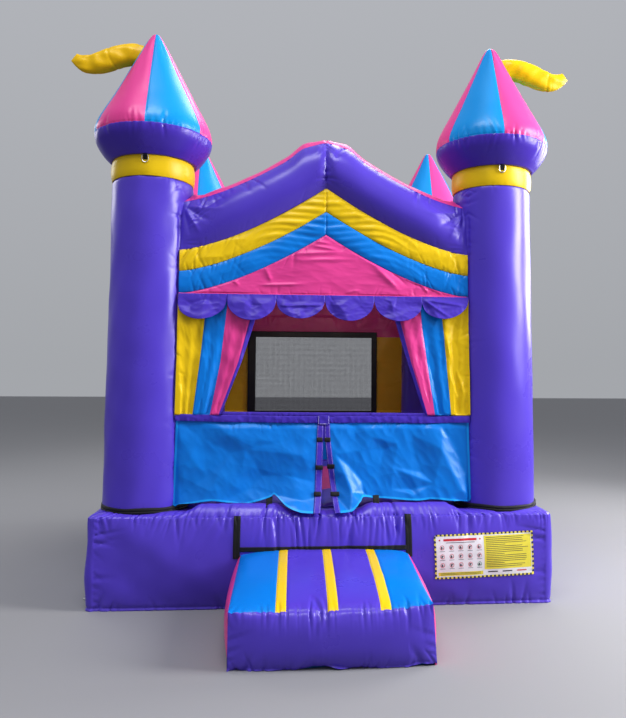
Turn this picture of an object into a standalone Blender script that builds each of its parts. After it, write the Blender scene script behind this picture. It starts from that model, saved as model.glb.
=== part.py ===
"""Inflatable bounce house: a square air mattress with four onion-domed towers, an ogee front and
back arch, panelled walls with mesh windows, a curtained entry, a ramp and the fan that fills it.

Run it with  blender --background --python part.py  or from Blender's text editor.
Metres, +Z up, -Y is the front. The origin is the centre of the mattress's underside.
"""

import math

import bmesh
import bpy
from mathutils import Matrix, Vector

# Driving dimensions
BASE_WIDTH = 3.66
BASE_HEIGHT = 0.72
BASE_EDGE = 0.08
TOWER_OFFSET = 1.45
TOWER_RADIUS = 0.33
COLUMN_TOP = 3.41
COLLAR_RADIUS = 0.335
COLLAR_TOP = 3.585
RAMP_LENGTH = 1.156
RAMP_WIDTH = 1.30
RAMP_BACK_HEIGHT = 0.433
RAMP_FRONT_HEIGHT = 0.365
WALL_OFFSET = 1.66
WALL_HALF_WIDTH = 1.19
ARCH_RADIUS = 0.20
ARCH_OFFSET = 1.48
ARCH_SIDE_TOP = 3.236
ARCH_RISE = 0.515
ARCH_ROUNDING = 0.12
WINDOW_HALF_WIDTH = 0.76
WINDOW_SILL = 1.36
WINDOW_TOP = 2.33
SILL_LOW = 1.440
SILL_HIGH = 1.524
VALANCE_TOP = 2.468

# Sheet and joint allowances
GAP = 0.0003
SKIN = 0.002
PANEL = 0.008
MESH_SHEET = 0.005
FLOOR_MAT = 0.025
FOLD_GAP = 0.008

# Rings and their webbing
RING_WIRE = 0.004
RING_WIDTH = 0.052
RING_DROP = 0.056
LOOP_WIDTH = 0.034
LOOP_HOLE = 0.0055

# Fan and sleeve
FAN_X = 0.75
FAN_Y = 2.66
FAN_AXIS_Z = 0.25
DRUM_RADIUS = 0.21
DRUM_WIDTH = 0.20
DRUM_WALL = 0.012
OUTLET_Z = 0.17
OUTLET_RADIUS = 0.10
SLEEVE_RADIUS = 0.13
VENT_X = -0.9
VENT_Z = 0.34
SWITCH_Z = FAN_AXIS_Z + DRUM_RADIUS + 0.02
SWITCH_TILT = math.radians(10)
SHAFT_RADIUS = 0.010
IMPELLER_RADIUS = 0.15
IMPELLER_LENGTH = 0.12
ALONG_X = (0, math.pi / 2, 0)
ALONG_Y = (math.pi / 2, 0, 0)

# Colour, roughness and metallic value of each finish
FINISHES = {
    "purple_vinyl": ((0.075, 0.035, 0.42), 0.32, 0.0),
    "yellow_vinyl": ((0.85, 0.58, 0.01), 0.34, 0.0),
    "blue_vinyl": ((0.005, 0.27, 0.68), 0.36, 0.0),
    "pink_vinyl": ((0.72, 0.07, 0.29), 0.36, 0.0),
    "black_mesh": ((0.012, 0.012, 0.014), 0.80, 0.0),
    "black_webbing": ((0.015, 0.015, 0.017), 0.85, 0.0),
    "steel_wire": ((0.62, 0.62, 0.64), 0.28, 1.0),
    "fan_plastic": ((0.02, 0.09, 0.35), 0.45, 0.0),
    "black_plastic": ((0.02, 0.02, 0.02), 0.50, 0.0),
    "grey_paint": ((0.22, 0.22, 0.23), 0.45, 0.6),
}

TOWERS = {
    "front_left": (-1, -1),
    "front_right": (1, -1),
    "back_left": (-1, 1),
    "back_right": (1, 1),
}


def clear_scene():
    for obj in list(bpy.data.objects):
        bpy.data.objects.remove(obj)


def make_collection(name):
    collection = bpy.data.collections.new(name)
    bpy.context.scene.collection.children.link(collection)
    return collection


clear_scene()
PARTS = make_collection("bounce_house")
CUTTERS = make_collection("cutters")


def finish(obj, kind):
    """Gives the object a material of its own in one of the finishes."""
    colour, roughness, metallic = FINISHES[kind]
    material = bpy.data.materials.new(f"{obj.name}_{kind}")
    material.use_nodes = True
    shader = material.node_tree.nodes["Principled BSDF"]
    shader.inputs["Base Color"].default_value = (*colour, 1.0)
    shader.inputs["Roughness"].default_value = roughness
    shader.inputs["Metallic"].default_value = metallic
    obj.data.materials.append(material)


def place(name, data, kind, location=(0, 0, 0), rotation=(0, 0, 0)):
    """Puts a mesh or curve in the scene as one sub-part."""
    obj = bpy.data.objects.new(name, data)
    obj.location = location
    obj.rotation_euler = rotation
    PARTS.objects.link(obj)
    finish(obj, kind)
    return obj


def cutter(name, mesh, location=(0, 0, 0), rotation=(0, 0, 0)):
    obj = bpy.data.objects.new(name, mesh)
    obj.location = location
    obj.rotation_euler = rotation
    obj.hide_render = True
    obj.display_type = "WIRE"
    CUTTERS.objects.link(obj)
    return obj


def round_cutter(name, radius, length, location, rotation, segments=24):
    return cutter(name, cylinder_mesh(name, radius, length, segments), location, rotation)


def box_cutter(name, size, location, rotation=(0, 0, 0)):
    return cutter(name, box_mesh(name, size), location, rotation)


def box_mesh(name, size):
    """A box centred on its object's origin."""
    bm = bmesh.new()
    bmesh.ops.create_cube(bm, size=1.0)
    bmesh.ops.scale(bm, vec=Vector(size), verts=bm.verts)
    return to_mesh(bm, name)


def cylinder_mesh(name, radius, length, segments=24, caps=True):
    """A cylinder along local Z, centred on its object's origin."""
    bm = bmesh.new()
    bmesh.ops.create_cone(
        bm, cap_ends=caps, segments=segments, radius1=radius, radius2=radius, depth=length
    )
    return to_mesh(bm, name)


def to_mesh(bm, name):
    mesh = bpy.data.meshes.new(name)
    bm.to_mesh(mesh)
    bm.free()
    mesh.shade_smooth()
    mesh.set_sharp_from_angle(angle=math.radians(35))
    return mesh


def solidify(obj, thickness, offset=-1.0):
    modifier = obj.modifiers.new("skin", "SOLIDIFY")
    modifier.thickness = thickness
    modifier.offset = offset
    modifier.use_even_offset = True


def bevel(obj, width, segments):
    modifier = obj.modifiers.new("rounded edges", "BEVEL")
    modifier.width = width
    modifier.segments = segments
    modifier.limit_method = "ANGLE"
    modifier.angle_limit = math.radians(40)


def boolean(obj, other, operation):
    modifier = obj.modifiers.new(f"{operation.lower()} {other.name}", "BOOLEAN")
    modifier.operation = operation
    modifier.solver = "EXACT"
    modifier.object = other


def flat_outline(name, loops, thickness):
    """A 2D curve filled between its closed loops, each a list of (x, y)."""
    curve = bpy.data.curves.new(name, "CURVE")
    curve.dimensions = "2D"
    curve.fill_mode = "BOTH"
    curve.extrude = thickness / 2
    for points in loops:
        spline = curve.splines.new("POLY")
        spline.points.add(len(points) - 1)
        spline.use_cyclic_u = True
        for point, (x, y) in zip(spline.points, points):
            point.co = (x, y, 0.0, 1.0)
    return curve


def front_panel(name, outline, kind, y=-WALL_OFFSET, thickness=PANEL, holes=()):
    """An upright sheet in the XZ plane at the given Y."""
    curve = flat_outline(name, [outline, *holes], thickness)
    return place(name, curve, kind, (0, y, 0), ALONG_Y)


def side_panel(name, outline, kind, x, thickness=PANEL, holes=()):
    """An upright sheet in the YZ plane at the given X."""
    curve = flat_outline(name, [outline, *holes], thickness)
    return place(name, curve, kind, (x, 0, 0), (math.pi / 2, 0, math.pi / 2))


def rectangle(x0, x1, z0, z1):
    return [(x0, z0), (x1, z0), (x1, z1), (x0, z1)]


def wire(name, points, radius, kind, cyclic=False, caps=True, resolution=2):
    """A round wire or tube through the points."""
    curve = bpy.data.curves.new(name, "CURVE")
    curve.dimensions = "3D"
    curve.bevel_depth = radius
    curve.bevel_resolution = resolution
    curve.use_fill_caps = caps
    spline = curve.splines.new("POLY")
    spline.points.add(len(points) - 1)
    spline.use_cyclic_u = cyclic
    for point, co in zip(spline.points, points):
        point.co = (*co, 1.0)
    return place(name, curve, kind)


# Outlines that the front and the back share


def gable_line(x, side_height, rise):
    """Height of an ogee line that falls from the middle to the towers."""
    reach = max(0.0, 1.0 - abs(x) / 1.2)
    return side_height + rise * reach**1.5


def arch_top(x):
    """Height of the arch's upper edge, rounded at its peak."""
    half_width = 1.19
    run = math.hypot(x, ARCH_ROUNDING) - ARCH_ROUNDING
    full_run = math.hypot(half_width, ARCH_ROUNDING) - ARCH_ROUNDING
    reach = max(0.0, 1.0 - run / full_run)
    return ARCH_SIDE_TOP + ARCH_RISE * reach**1.45


def steps(start, end, count):
    return [start + (end - start) * i / count for i in range(count + 1)]


def band(upper, lower, count=16):
    """Outline between two lines across the front, each (side height, rise)."""
    across = steps(-WALL_HALF_WIDTH, WALL_HALF_WIDTH, count)
    top = [(x, gable_line(x, *upper)) for x in across]
    bottom = [(x, gable_line(x, *lower)) for x in reversed(across)]
    return bottom + top


# Mattress, floor and ramp


def build_base():
    mesh = box_mesh("base_mattress", (BASE_WIDTH, BASE_WIDTH, BASE_HEIGHT))
    base = place("base_mattress", mesh, "purple_vinyl", (0, 0, BASE_HEIGHT / 2))
    bevel(base, BASE_EDGE, 3)
    solidify(base, SKIN)
    ports = (("air_port", FAN_X, OUTLET_Z, 0.11), ("vent_port", VENT_X, VENT_Z, 0.09))
    for label, x, z, radius in ports:
        boolean(base, round_cutter(label, radius, 0.2, (x, BASE_WIDTH / 2, z), ALONG_Y), "DIFFERENCE")


def build_floor():
    """A mat that fills the space between the walls, notched round the towers."""
    wide = 1.52
    notch = TOWER_OFFSET - TOWER_RADIUS - 0.01
    corner = [Vector((wide, -notch)), Vector((wide, notch)), Vector((notch, notch))]
    outline = []
    for turn in range(4):
        quarter = Matrix.Rotation(turn * math.pi / 2, 2)
        outline += [tuple(quarter @ point) for point in corner]
    curve = flat_outline("bounce_floor", [outline], FLOOR_MAT)
    place("bounce_floor", curve, "pink_vinyl", (0, 0, BASE_HEIGHT + GAP + FLOOR_MAT / 2))


def build_ramp():
    """A wedge-topped block that is open towards the mattress."""
    bm = bmesh.new()
    bmesh.ops.create_cube(bm, size=1.0)
    bmesh.ops.scale(bm, vec=(RAMP_WIDTH, RAMP_LENGTH, 1.0), verts=bm.verts)
    for vert in bm.verts:
        height = RAMP_BACK_HEIGHT if vert.co.y > 0 else RAMP_FRONT_HEIGHT
        vert.co.z = height if vert.co.z > 0 else 0.0
    back = [face for face in bm.faces if all(vert.co.y > 0 for vert in face.verts)]
    bmesh.ops.delete(bm, geom=back, context="FACES")
    y = -(BASE_WIDTH / 2 + GAP + RAMP_LENGTH / 2)
    ramp = place("entry_ramp", to_mesh(bm, "entry_ramp"), "purple_vinyl", (0, y, 0))
    bevel(ramp, 0.05, 2)
    solidify(ramp, SKIN)


# Towers


def dome_profile():
    """(radius, height) from the tip down: a rounded tip, a straight spire and a round bowl."""
    spire = [(0.0, 4.69), (0.058, 4.665), (0.12, 4.551), (0.21, 4.359), (0.30, 4.182), (0.423, 3.931)]
    bowl_centre = Vector((0.29, 3.80))
    bowl = []
    for degrees in (12, -12, -38, -65):
        angle = math.radians(degrees)
        point = bowl_centre + Vector((0.178 * math.cos(angle), 0.24 * math.sin(angle)))
        bowl.append(tuple(point))
    return spire + bowl


def turned(name, profile, kind, location, segments=20):
    """A profile turned about local Z, given from its top down."""
    bm = bmesh.new()
    verts = [bm.verts.new((radius, 0, height)) for radius, height in profile]
    for upper, lower in zip(verts, verts[1:]):
        bm.edges.new((upper, lower))
    obj = place(name, to_mesh(bm, name), kind, location)
    screw = obj.modifiers.new("turned", "SCREW")
    screw.axis = "Z"
    screw.angle = math.tau
    screw.steps = segments
    screw.render_steps = segments
    screw.use_merge_vertices = True
    screw.merge_threshold = 0.0001
    screw.use_smooth_shade = True
    return obj


def ring_points(along, hang):
    """Centre line of a D-ring: a straight bar along one direction and a bow that hangs from it."""
    half = RING_WIDTH / 2
    corner = 0.006
    bow_segments = 8
    points = [along * (corner - half), along * (half - corner), along * half + hang * corner]
    for i in range(bow_segments + 1):
        angle = math.pi * i / bow_segments
        down = RING_DROP - half + half * math.sin(angle)
        points.append(along * half * math.cos(angle) + hang * down)
    points.append(hang * corner - along * half)
    return [tuple(point) for point in points]


def ring(name, axis_point, along, hang):
    """A D-ring whose object origin lies on its bar."""
    obj = wire(name, ring_points(along, hang), RING_WIRE, "steel_wire", cyclic=True)
    obj.location = axis_point


def build_towers():
    ring_out = COLLAR_RADIUS + 0.011
    ring_z = 3.555
    column = cylinder_mesh("column", TOWER_RADIUS, COLUMN_TOP - BASE_HEIGHT - 2 * GAP, caps=False)
    collar_height = COLLAR_TOP - COLUMN_TOP - GAP
    for name, (side, depth) in TOWERS.items():
        x = side * TOWER_OFFSET
        y = depth * TOWER_OFFSET
        shaft_z = (BASE_HEIGHT + COLUMN_TOP) / 2
        shaft = place(f"column_{name}", column.copy(), "purple_vinyl", (x, y, shaft_z))
        solidify(shaft, SKIN)

        mesh = cylinder_mesh(f"collar_{name}", COLLAR_RADIUS, collar_height, caps=False)
        collar_z = (COLUMN_TOP + COLLAR_TOP) / 2
        collar = place(f"collar_{name}", mesh, "yellow_vinyl", (x, y, collar_z))
        solidify(collar, SKIN)
        loop_y = y + depth * ring_out
        block = (LOOP_WIDTH, 0.030, 0.022)
        loop = box_cutter(f"loop_{name}", block, (x, loop_y - depth * 0.006, ring_z))
        boolean(collar, loop, "UNION")
        hole_at = (x, loop_y, ring_z)
        hole = round_cutter(f"loop_hole_{name}", LOOP_HOLE, 0.08, hole_at, ALONG_X, 16)
        boolean(collar, hole, "DIFFERENCE")
        ring(f"tower_ring_{name}", (x, loop_y, ring_z), Vector((1, 0, 0)), Vector((0, 0, -1)))

        dome = turned(f"dome_{name}", dome_profile(), "purple_vinyl", (x, y, 0))
        solidify(dome, SKIN)


def pennant_outline(side):
    """A wavy tongue that leaves the spire, dips and lifts at its tip."""
    upper = [(1.575, 4.612), (1.70, 4.617), (1.83, 4.570), (1.96, 4.515), (2.08, 4.520), (2.145, 4.515)]
    lower = [(2.115, 4.425), (2.03, 4.365), (1.92, 4.350), (1.80, 4.385), (1.66, 4.440)]
    outline = [(side * x, z) for x, z in upper + lower]
    return outline if side > 0 else outline[::-1]


def build_pennants():
    for name, side in (("left", -1), ("right", 1)):
        outline = pennant_outline(side)
        front_panel(f"pennant_{name}", outline, "yellow_vinyl", y=-TOWER_OFFSET, thickness=0.11)


# Anchors on the mattress


def build_anchors():
    """A webbing tab with a ring that lies on the ground beside each corner."""
    face = BASE_WIDTH / 2 + GAP
    axis_z = 0.0105
    axis_out = face + 0.035
    for name, (side, depth) in TOWERS.items():
        y = depth * 1.52
        plate = box_mesh(f"anchor_tab_{name}", (0.004, 0.05, 0.24))
        tab = place(f"anchor_tab_{name}", plate, "black_webbing", (side * (face + 0.002), y, 0.12))
        block = (0.045, LOOP_WIDTH, 0.0205)
        loop = box_cutter(f"anchor_loop_{name}", block, (side * (face + 0.0245), y, block[2] / 2))
        boolean(tab, loop, "UNION")
        axis = (side * axis_out, y, axis_z)
        hole = round_cutter(f"anchor_hole_{name}", LOOP_HOLE, 0.08, axis, ALONG_Y, 16)
        boolean(tab, hole, "DIFFERENCE")
        ring(f"anchor_ring_{name}", axis, Vector((0, 1, 0)), Vector((side, 0, 0)))


# Arches, beams and roof


def build_frame():
    half_width = TOWER_OFFSET - TOWER_RADIUS - 0.002
    # The arch's ends lean with its slope, so they stop a little short of the towers.
    arch_half_width = half_width - 0.07
    across = steps(-arch_half_width, arch_half_width, 16)
    for name, depth in (("front_arch_beam", -1), ("back_arch_beam", 1)):
        points = [(x, depth * ARCH_OFFSET, arch_top(x) - ARCH_RADIUS) for x in across]
        beam = wire(name, points, ARCH_RADIUS, "purple_vinyl", caps=False, resolution=4)
        solidify(beam, SKIN)
    beam_z = ARCH_SIDE_TOP - ARCH_RADIUS
    for name, side in (("left_beam", -1), ("right_beam", 1)):
        mesh = cylinder_mesh(name, ARCH_RADIUS, 2 * half_width, 16, caps=False)
        beam = place(name, mesh, "purple_vinyl", (side * ARCH_OFFSET, 0, beam_z), ALONG_Y)
        solidify(beam, SKIN)


def build_roof():
    """A pink sheet that follows the arches from front to back."""
    half_width = 1.112
    half_depth = 1.275
    drop = 0.05
    across = steps(-half_width, half_width, 12)
    lower = [(x, arch_top(x) - drop - PANEL) for x in across]
    upper = [(x, arch_top(x) - drop) for x in reversed(across)]
    curve = flat_outline("roof_panel", [lower + upper], 2 * half_depth)
    place("roof_panel", curve, "pink_vinyl", (0, 0, 0), ALONG_Y)


# Front


def build_gable():
    yellow_top = (2.826, 0.538)
    blue_top = (2.650, 0.514)
    pink_top = (2.470, 0.503)
    below_yellow = (blue_top[0] + GAP, blue_top[1])
    below_blue = (pink_top[0] + GAP, pink_top[1])
    front_panel("gable_yellow_band", band(yellow_top, below_yellow), "yellow_vinyl")
    front_panel("gable_blue_band", band(blue_top, below_blue), "blue_vinyl")
    peak = [(x, gable_line(x, *pink_top)) for x in steps(WALL_HALF_WIDTH, -WALL_HALF_WIDTH, 16)]
    outline = [(-WALL_HALF_WIDTH, VALANCE_TOP), (WALL_HALF_WIDTH, VALANCE_TOP)] + peak
    front_panel("gable_pink_panel", outline, "pink_vinyl")


def build_valance():
    """A row of hanging scallops on a hinge line along its top."""
    scallops = 6
    cusp_drop = 0.093
    depth = 0.095
    half_width = 1.185
    pitch = 2 * half_width / scallops
    outline = [(half_width, 0.0), (-half_width, 0.0)]
    for i in range(scallops):
        start = -half_width + i * pitch
        for k in range(8):
            angle = math.pi * k / 8
            x = start + pitch / 2 * (1 - math.cos(angle))
            outline.append((x, -cusp_drop - depth * math.sin(angle) ** 0.7))
    outline.append((half_width, -cusp_drop))
    curve = flat_outline("valance", [outline], PANEL)
    place("valance", curve, "purple_vinyl", (0, -1.70, VALANCE_TOP), ALONG_Y)


def curtain_outline(side):
    """A drawn-back curtain: wide at the valance, curving in towards the tower at the sill."""
    low = SILL_HIGH + GAP
    high = VALANCE_TOP - GAP
    inner = []
    for i in range(7):
        t = i / 6
        z = low + (high - low) * t
        inner.append((0.81 - 0.255 * t**1.25, z))
    outline = [(WALL_HALF_WIDTH, low)] + inner + [(WALL_HALF_WIDTH, high)]
    return [(side * x, z) for x, z in outline]


def build_curtains():
    for name, side in (("left", -1), ("right", 1)):
        front_panel(f"curtain_{name}", curtain_outline(side), "pink_vinyl")
    mesh_half_width = 1.15
    outline = rectangle(-mesh_half_width, mesh_half_width, SILL_HIGH + 0.004, VALANCE_TOP - 0.004)
    front_panel("front_window_mesh", outline, "black_mesh", y=-1.635, thickness=MESH_SHEET)
    outline = rectangle(-WALL_HALF_WIDTH, WALL_HALF_WIDTH, SILL_LOW, SILL_HIGH)
    front_panel("sill_band", outline, "purple_vinyl")


def build_entry():
    """Two blue sheets below the sill. Each has a free corner that folds about a slanting line."""
    top = SILL_LOW - GAP
    low = BASE_HEIGHT + 0.015
    outer = WALL_HALF_WIDTH
    sheets = (("left", -1, 0.0, 0.012, 0.020, 0.42), ("right", 1, GAP, 0.032, 0.125, 0.43))
    for name, side, middle, slit_top, slit_low, strap in sheets:
        slit_z = 1.30
        strap_z = 0.78
        slope = Vector((strap - slit_top, strap_z - slit_z)).normalized()
        normal = Vector((-slope.y, slope.x))
        shift = normal * FOLD_GAP
        fold_top = Vector((slit_top, slit_z)) + shift
        fold_low = Vector((strap, strap_z)) + shift
        fixed = [
            (middle, slit_z + 0.03),
            tuple(fold_top),
            tuple(fold_low),
            (strap + 0.07, low),
            (outer, low),
            (outer, top),
            (middle, top),
        ]
        front_panel(f"entry_flap_{name}", [(side * x, z) for x, z in fixed], "blue_vinyl")
        # The corner's own origin is the upper end of the fold line.
        free = [
            Vector((slit_top, slit_z)) - shift - Vector((0.0, 0.02)),
            Vector((strap, strap_z)) - shift,
            Vector((strap - 0.03, low)),
            Vector((slit_low, low)),
        ]
        corner = [(side * (point.x - slit_top), point.y - slit_z) for point in free]
        curve = flat_outline(f"entry_corner_{name}", [corner], PANEL)
        place(
            f"entry_corner_{name}",
            curve,
            "blue_vinyl",
            (side * slit_top, -WALL_OFFSET, slit_z),
            ALONG_Y,
        )


# Back and side walls


def build_walls():
    low = BASE_HEIGHT + 0.015
    window = rectangle(-WINDOW_HALF_WIDTH, WINDOW_HALF_WIDTH, WINDOW_SILL, WINDOW_TOP)
    mesh_edge = 0.06
    screen = rectangle(
        -WINDOW_HALF_WIDTH - mesh_edge,
        WINDOW_HALF_WIDTH + mesh_edge,
        WINDOW_SILL - mesh_edge,
        WINDOW_TOP + mesh_edge,
    )
    mesh_offset = WALL_OFFSET - 0.025
    seam = 2.58
    outline = rectangle(-WALL_HALF_WIDTH, WALL_HALF_WIDTH, low, seam)
    front_panel("back_wall_panel", outline, "yellow_vinyl", y=WALL_OFFSET, holes=[window])
    across = steps(WALL_HALF_WIDTH, -WALL_HALF_WIDTH, 16)
    peak = [(x, gable_line(x, 2.80, 0.53)) for x in across]
    outline = [(-WALL_HALF_WIDTH, seam + GAP), (WALL_HALF_WIDTH, seam + GAP)] + peak
    front_panel("back_gable_panel", outline, "pink_vinyl", y=WALL_OFFSET)
    front_panel("back_window_mesh", screen, "black_mesh", y=mesh_offset, thickness=MESH_SHEET)
    wall_top = ARCH_SIDE_TOP - 2 * ARCH_RADIUS - 0.01
    outline = rectangle(-WALL_HALF_WIDTH, WALL_HALF_WIDTH, low, wall_top)
    for name, side in (("left", -1), ("right", 1)):
        side_panel(f"{name}_wall_panel", outline, "blue_vinyl", side * WALL_OFFSET, holes=[window])
        side_panel(f"{name}_window_mesh", screen, "black_mesh", side * mesh_offset, MESH_SHEET)


# Fan, sleeve and vent


def build_casing():
    """A drum on a foot, with a round outlet towards the mattress and a switch box on top."""
    centre = (FAN_X, FAN_Y, FAN_AXIS_Z)
    drum = cylinder_mesh("blower_casing", DRUM_RADIUS, DRUM_WIDTH, 32)
    casing = place("blower_casing", drum, "fan_plastic", centre, ALONG_X)
    nozzle_length = 0.38
    nozzle_at = (FAN_X, FAN_Y - nozzle_length / 2, OUTLET_Z)
    # The nozzle is a little narrower than the drum, so that their faces don't coincide.
    nozzle_radius = OUTLET_RADIUS - 0.001
    box_at = (FAN_X, FAN_Y, SWITCH_Z - 0.014)
    added = [
        round_cutter("nozzle", nozzle_radius, nozzle_length, nozzle_at, ALONG_Y),
        box_cutter("foot", (0.26, 0.38, 0.06), (FAN_X, FAN_Y, 0.03)),
        box_cutter("switch_box", (0.06, 0.07, 0.06), box_at),
    ]
    hollow_radius = DRUM_RADIUS - DRUM_WALL
    hollow_width = DRUM_WIDTH - 2 * DRUM_WALL
    duct_at = (FAN_X, nozzle_at[1] - 0.05, OUTLET_Z)
    inlet_at = (FAN_X + DRUM_WIDTH / 2, FAN_Y, FAN_AXIS_Z)
    shaft_at = (FAN_X - DRUM_WIDTH / 2, FAN_Y, FAN_AXIS_Z)
    removed = [
        round_cutter("drum_hollow", hollow_radius, hollow_width, centre, ALONG_X, 32),
        round_cutter("duct", OUTLET_RADIUS - DRUM_WALL, nozzle_length, duct_at, ALONG_Y),
        round_cutter("inlet_hole", 0.09, 0.1, inlet_at, ALONG_X),
        round_cutter("shaft_hole", SHAFT_RADIUS + 0.004, 0.1, shaft_at, ALONG_X),
        box_cutter("switch_pocket", (0.014, 0.026, 0.024), (FAN_X, FAN_Y, SWITCH_Z + 0.008)),
    ]
    for other in added:
        boolean(casing, other, "UNION")
    for other in removed:
        boolean(casing, other, "DIFFERENCE")


def turned_hoop(name, inner, outer, length, segments=32):
    """A flat hoop about local Z."""
    bm = bmesh.new()
    half = length / 2
    corners = ((inner, -half), (outer, -half), (outer, half), (inner, half))
    loops = []
    for radius, z in corners:
        circle = bmesh.ops.create_circle(bm, segments=segments, radius=radius)["verts"]
        bmesh.ops.translate(bm, vec=(0, 0, z), verts=circle)
        loops.append(list({edge for vert in circle for edge in vert.link_edges}))
    for first, second in zip(loops, loops[1:] + loops[:1]):
        bmesh.ops.bridge_loops(bm, edges=first + second)
    bmesh.ops.recalc_face_normals(bm, faces=bm.faces)
    return to_mesh(bm, name)


def build_impeller():
    """A squirrel-cage wheel: back plate, a ring of blades, a front hoop and its shaft."""
    plate_x = FAN_X - IMPELLER_LENGTH / 2
    plate_at = (plate_x, FAN_Y, FAN_AXIS_Z)
    plate = cylinder_mesh("blower_impeller", IMPELLER_RADIUS, 0.006, 32)
    impeller = place("blower_impeller", plate, "black_plastic", plate_at, ALONG_X)
    blades = bmesh.new()
    blade_count = 14
    slant = Matrix.Rotation(math.radians(40), 4, "X")
    shift = Matrix.Translation((IMPELLER_LENGTH / 2, 0, IMPELLER_RADIUS - 0.016))
    size = Matrix.Diagonal((IMPELLER_LENGTH, 0.004, 0.026, 1.0))
    for i in range(blade_count):
        turn = Matrix.Rotation(math.tau * i / blade_count, 4, "X")
        bmesh.ops.create_cube(blades, size=1.0, matrix=turn @ shift @ slant @ size)
    boolean(impeller, cutter("blades", to_mesh(blades, "blades"), plate_at), "UNION")
    hoop = turned_hoop("front_hoop", IMPELLER_RADIUS - 0.030, IMPELLER_RADIUS, 0.008)
    hoop_at = (plate_x + IMPELLER_LENGTH - 0.004, FAN_Y, FAN_AXIS_Z)
    boolean(impeller, cutter("front_hoop", hoop, hoop_at, ALONG_X), "UNION")
    shaft_length = 0.085
    shaft_at = (plate_x + 0.02 - shaft_length / 2, FAN_Y, FAN_AXIS_Z)
    boolean(impeller, round_cutter("shaft", SHAFT_RADIUS, shaft_length, shaft_at, ALONG_X), "UNION")


def build_motor():
    """A can whose blind bore takes the end of the impeller's shaft."""
    length = 0.13
    face_x = FAN_X - DRUM_WIDTH / 2 - GAP
    can = cylinder_mesh("blower_motor", 0.08, length)
    motor = place("blower_motor", can, "grey_paint", (face_x - length / 2, FAN_Y, FAN_AXIS_Z), ALONG_X)
    bevel(motor, 0.008, 2)
    bore_at = (face_x, FAN_Y, FAN_AXIS_Z)
    boolean(motor, round_cutter("motor_bore", SHAFT_RADIUS + 0.0006, 0.08, bore_at, ALONG_X), "DIFFERENCE")


def build_grille():
    """A guard of hoops and crossed bars over the inlet."""
    at = (FAN_X + DRUM_WIDTH / 2 + GAP + 0.003, FAN_Y, FAN_AXIS_Z)
    rim = turned_hoop("blower_inlet_grille", 0.092, 0.104, 0.006, 24)
    grille = place("blower_inlet_grille", rim, "grey_paint", at, ALONG_X)
    for i, radius in enumerate((0.03, 0.06)):
        name = f"guard_hoop_{i}"
        hoop = turned_hoop(name, radius, radius + 0.004, 0.005, 16)
        boolean(grille, cutter(name, hoop, at, ALONG_X), "UNION")
    for i in range(2):
        turn = (math.radians(45 + 90 * i), 0, 0)
        boolean(grille, box_cutter(f"guard_bar_{i}", (0.0045, 0.190, 0.004), at, turn), "UNION")


def build_switch():
    """A rocker in the pocket on the fan's top, tipped to its off side."""
    rocker = box_mesh("blower_switch", (0.012, 0.022, 0.012))
    at = (FAN_X, FAN_Y, SWITCH_Z + 0.014)
    obj = place("blower_switch", rocker, "black_plastic", at, (-SWITCH_TILT, 0, 0))
    bevel(obj, 0.0015, 2)


def build_sleeve_and_vent():
    start = BASE_WIDTH / 2 + GAP
    length = 0.56
    tube = cylinder_mesh("inflation_sleeve", SLEEVE_RADIUS, length, caps=False)
    sleeve_at = (FAN_X, start + length / 2, OUTLET_Z)
    sleeve = place("inflation_sleeve", tube, "purple_vinyl", sleeve_at, ALONG_Y)
    solidify(sleeve, SKIN)
    half = 0.15
    flap = flat_outline("vent_flap", [rectangle(-half, half, -2 * half, 0.0)], PANEL)
    hinge = (VENT_X, start + 0.004 + PANEL / 2, VENT_Z + half)
    place("vent_flap", flap, "purple_vinyl", hinge, ALONG_Y)


build_base()
build_floor()
build_ramp()
build_towers()
build_pennants()
build_anchors()
build_frame()
build_roof()
build_gable()
build_valance()
build_curtains()
build_entry()
build_walls()
build_casing()
build_impeller()
build_motor()
build_grille()
build_switch()
build_sleeve_and_vent()
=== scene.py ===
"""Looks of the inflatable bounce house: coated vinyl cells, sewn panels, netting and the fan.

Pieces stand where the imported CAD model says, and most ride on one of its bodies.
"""

import math

import bmesh
import bpy
import numpy as np
from mathutils import Matrix, Vector
from mathutils.geometry import delaunay_2d_cdt


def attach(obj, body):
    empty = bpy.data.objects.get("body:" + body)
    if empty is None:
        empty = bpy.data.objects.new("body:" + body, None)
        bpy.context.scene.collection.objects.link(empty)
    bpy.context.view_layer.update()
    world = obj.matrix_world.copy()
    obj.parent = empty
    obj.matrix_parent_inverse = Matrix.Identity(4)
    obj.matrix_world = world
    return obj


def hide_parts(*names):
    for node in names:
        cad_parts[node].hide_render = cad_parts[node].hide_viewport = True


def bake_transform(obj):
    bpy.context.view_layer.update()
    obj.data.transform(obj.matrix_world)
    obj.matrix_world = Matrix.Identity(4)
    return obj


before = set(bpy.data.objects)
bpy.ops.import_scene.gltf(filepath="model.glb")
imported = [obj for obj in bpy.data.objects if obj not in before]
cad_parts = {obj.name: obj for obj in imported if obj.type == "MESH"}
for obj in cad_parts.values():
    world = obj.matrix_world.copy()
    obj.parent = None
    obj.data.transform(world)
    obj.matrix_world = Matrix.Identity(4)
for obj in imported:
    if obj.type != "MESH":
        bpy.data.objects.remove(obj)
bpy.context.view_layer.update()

# Sizes repeated from the CAD source, in metres

# Mattress and ramp
BASE_HALF = 1.83
BASE_SEAM = 0.70
BASE_CORNER = 0.055
BASE_FLAT = 2 * (BASE_HALF - BASE_CORNER)
FLOOR_LEVEL = 0.727
RAMP_RUN = 1.156
RAMP_FACE = 0.365
ANCHOR_Y = 1.52
ANCHOR_AXIS = 1.8653

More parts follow.
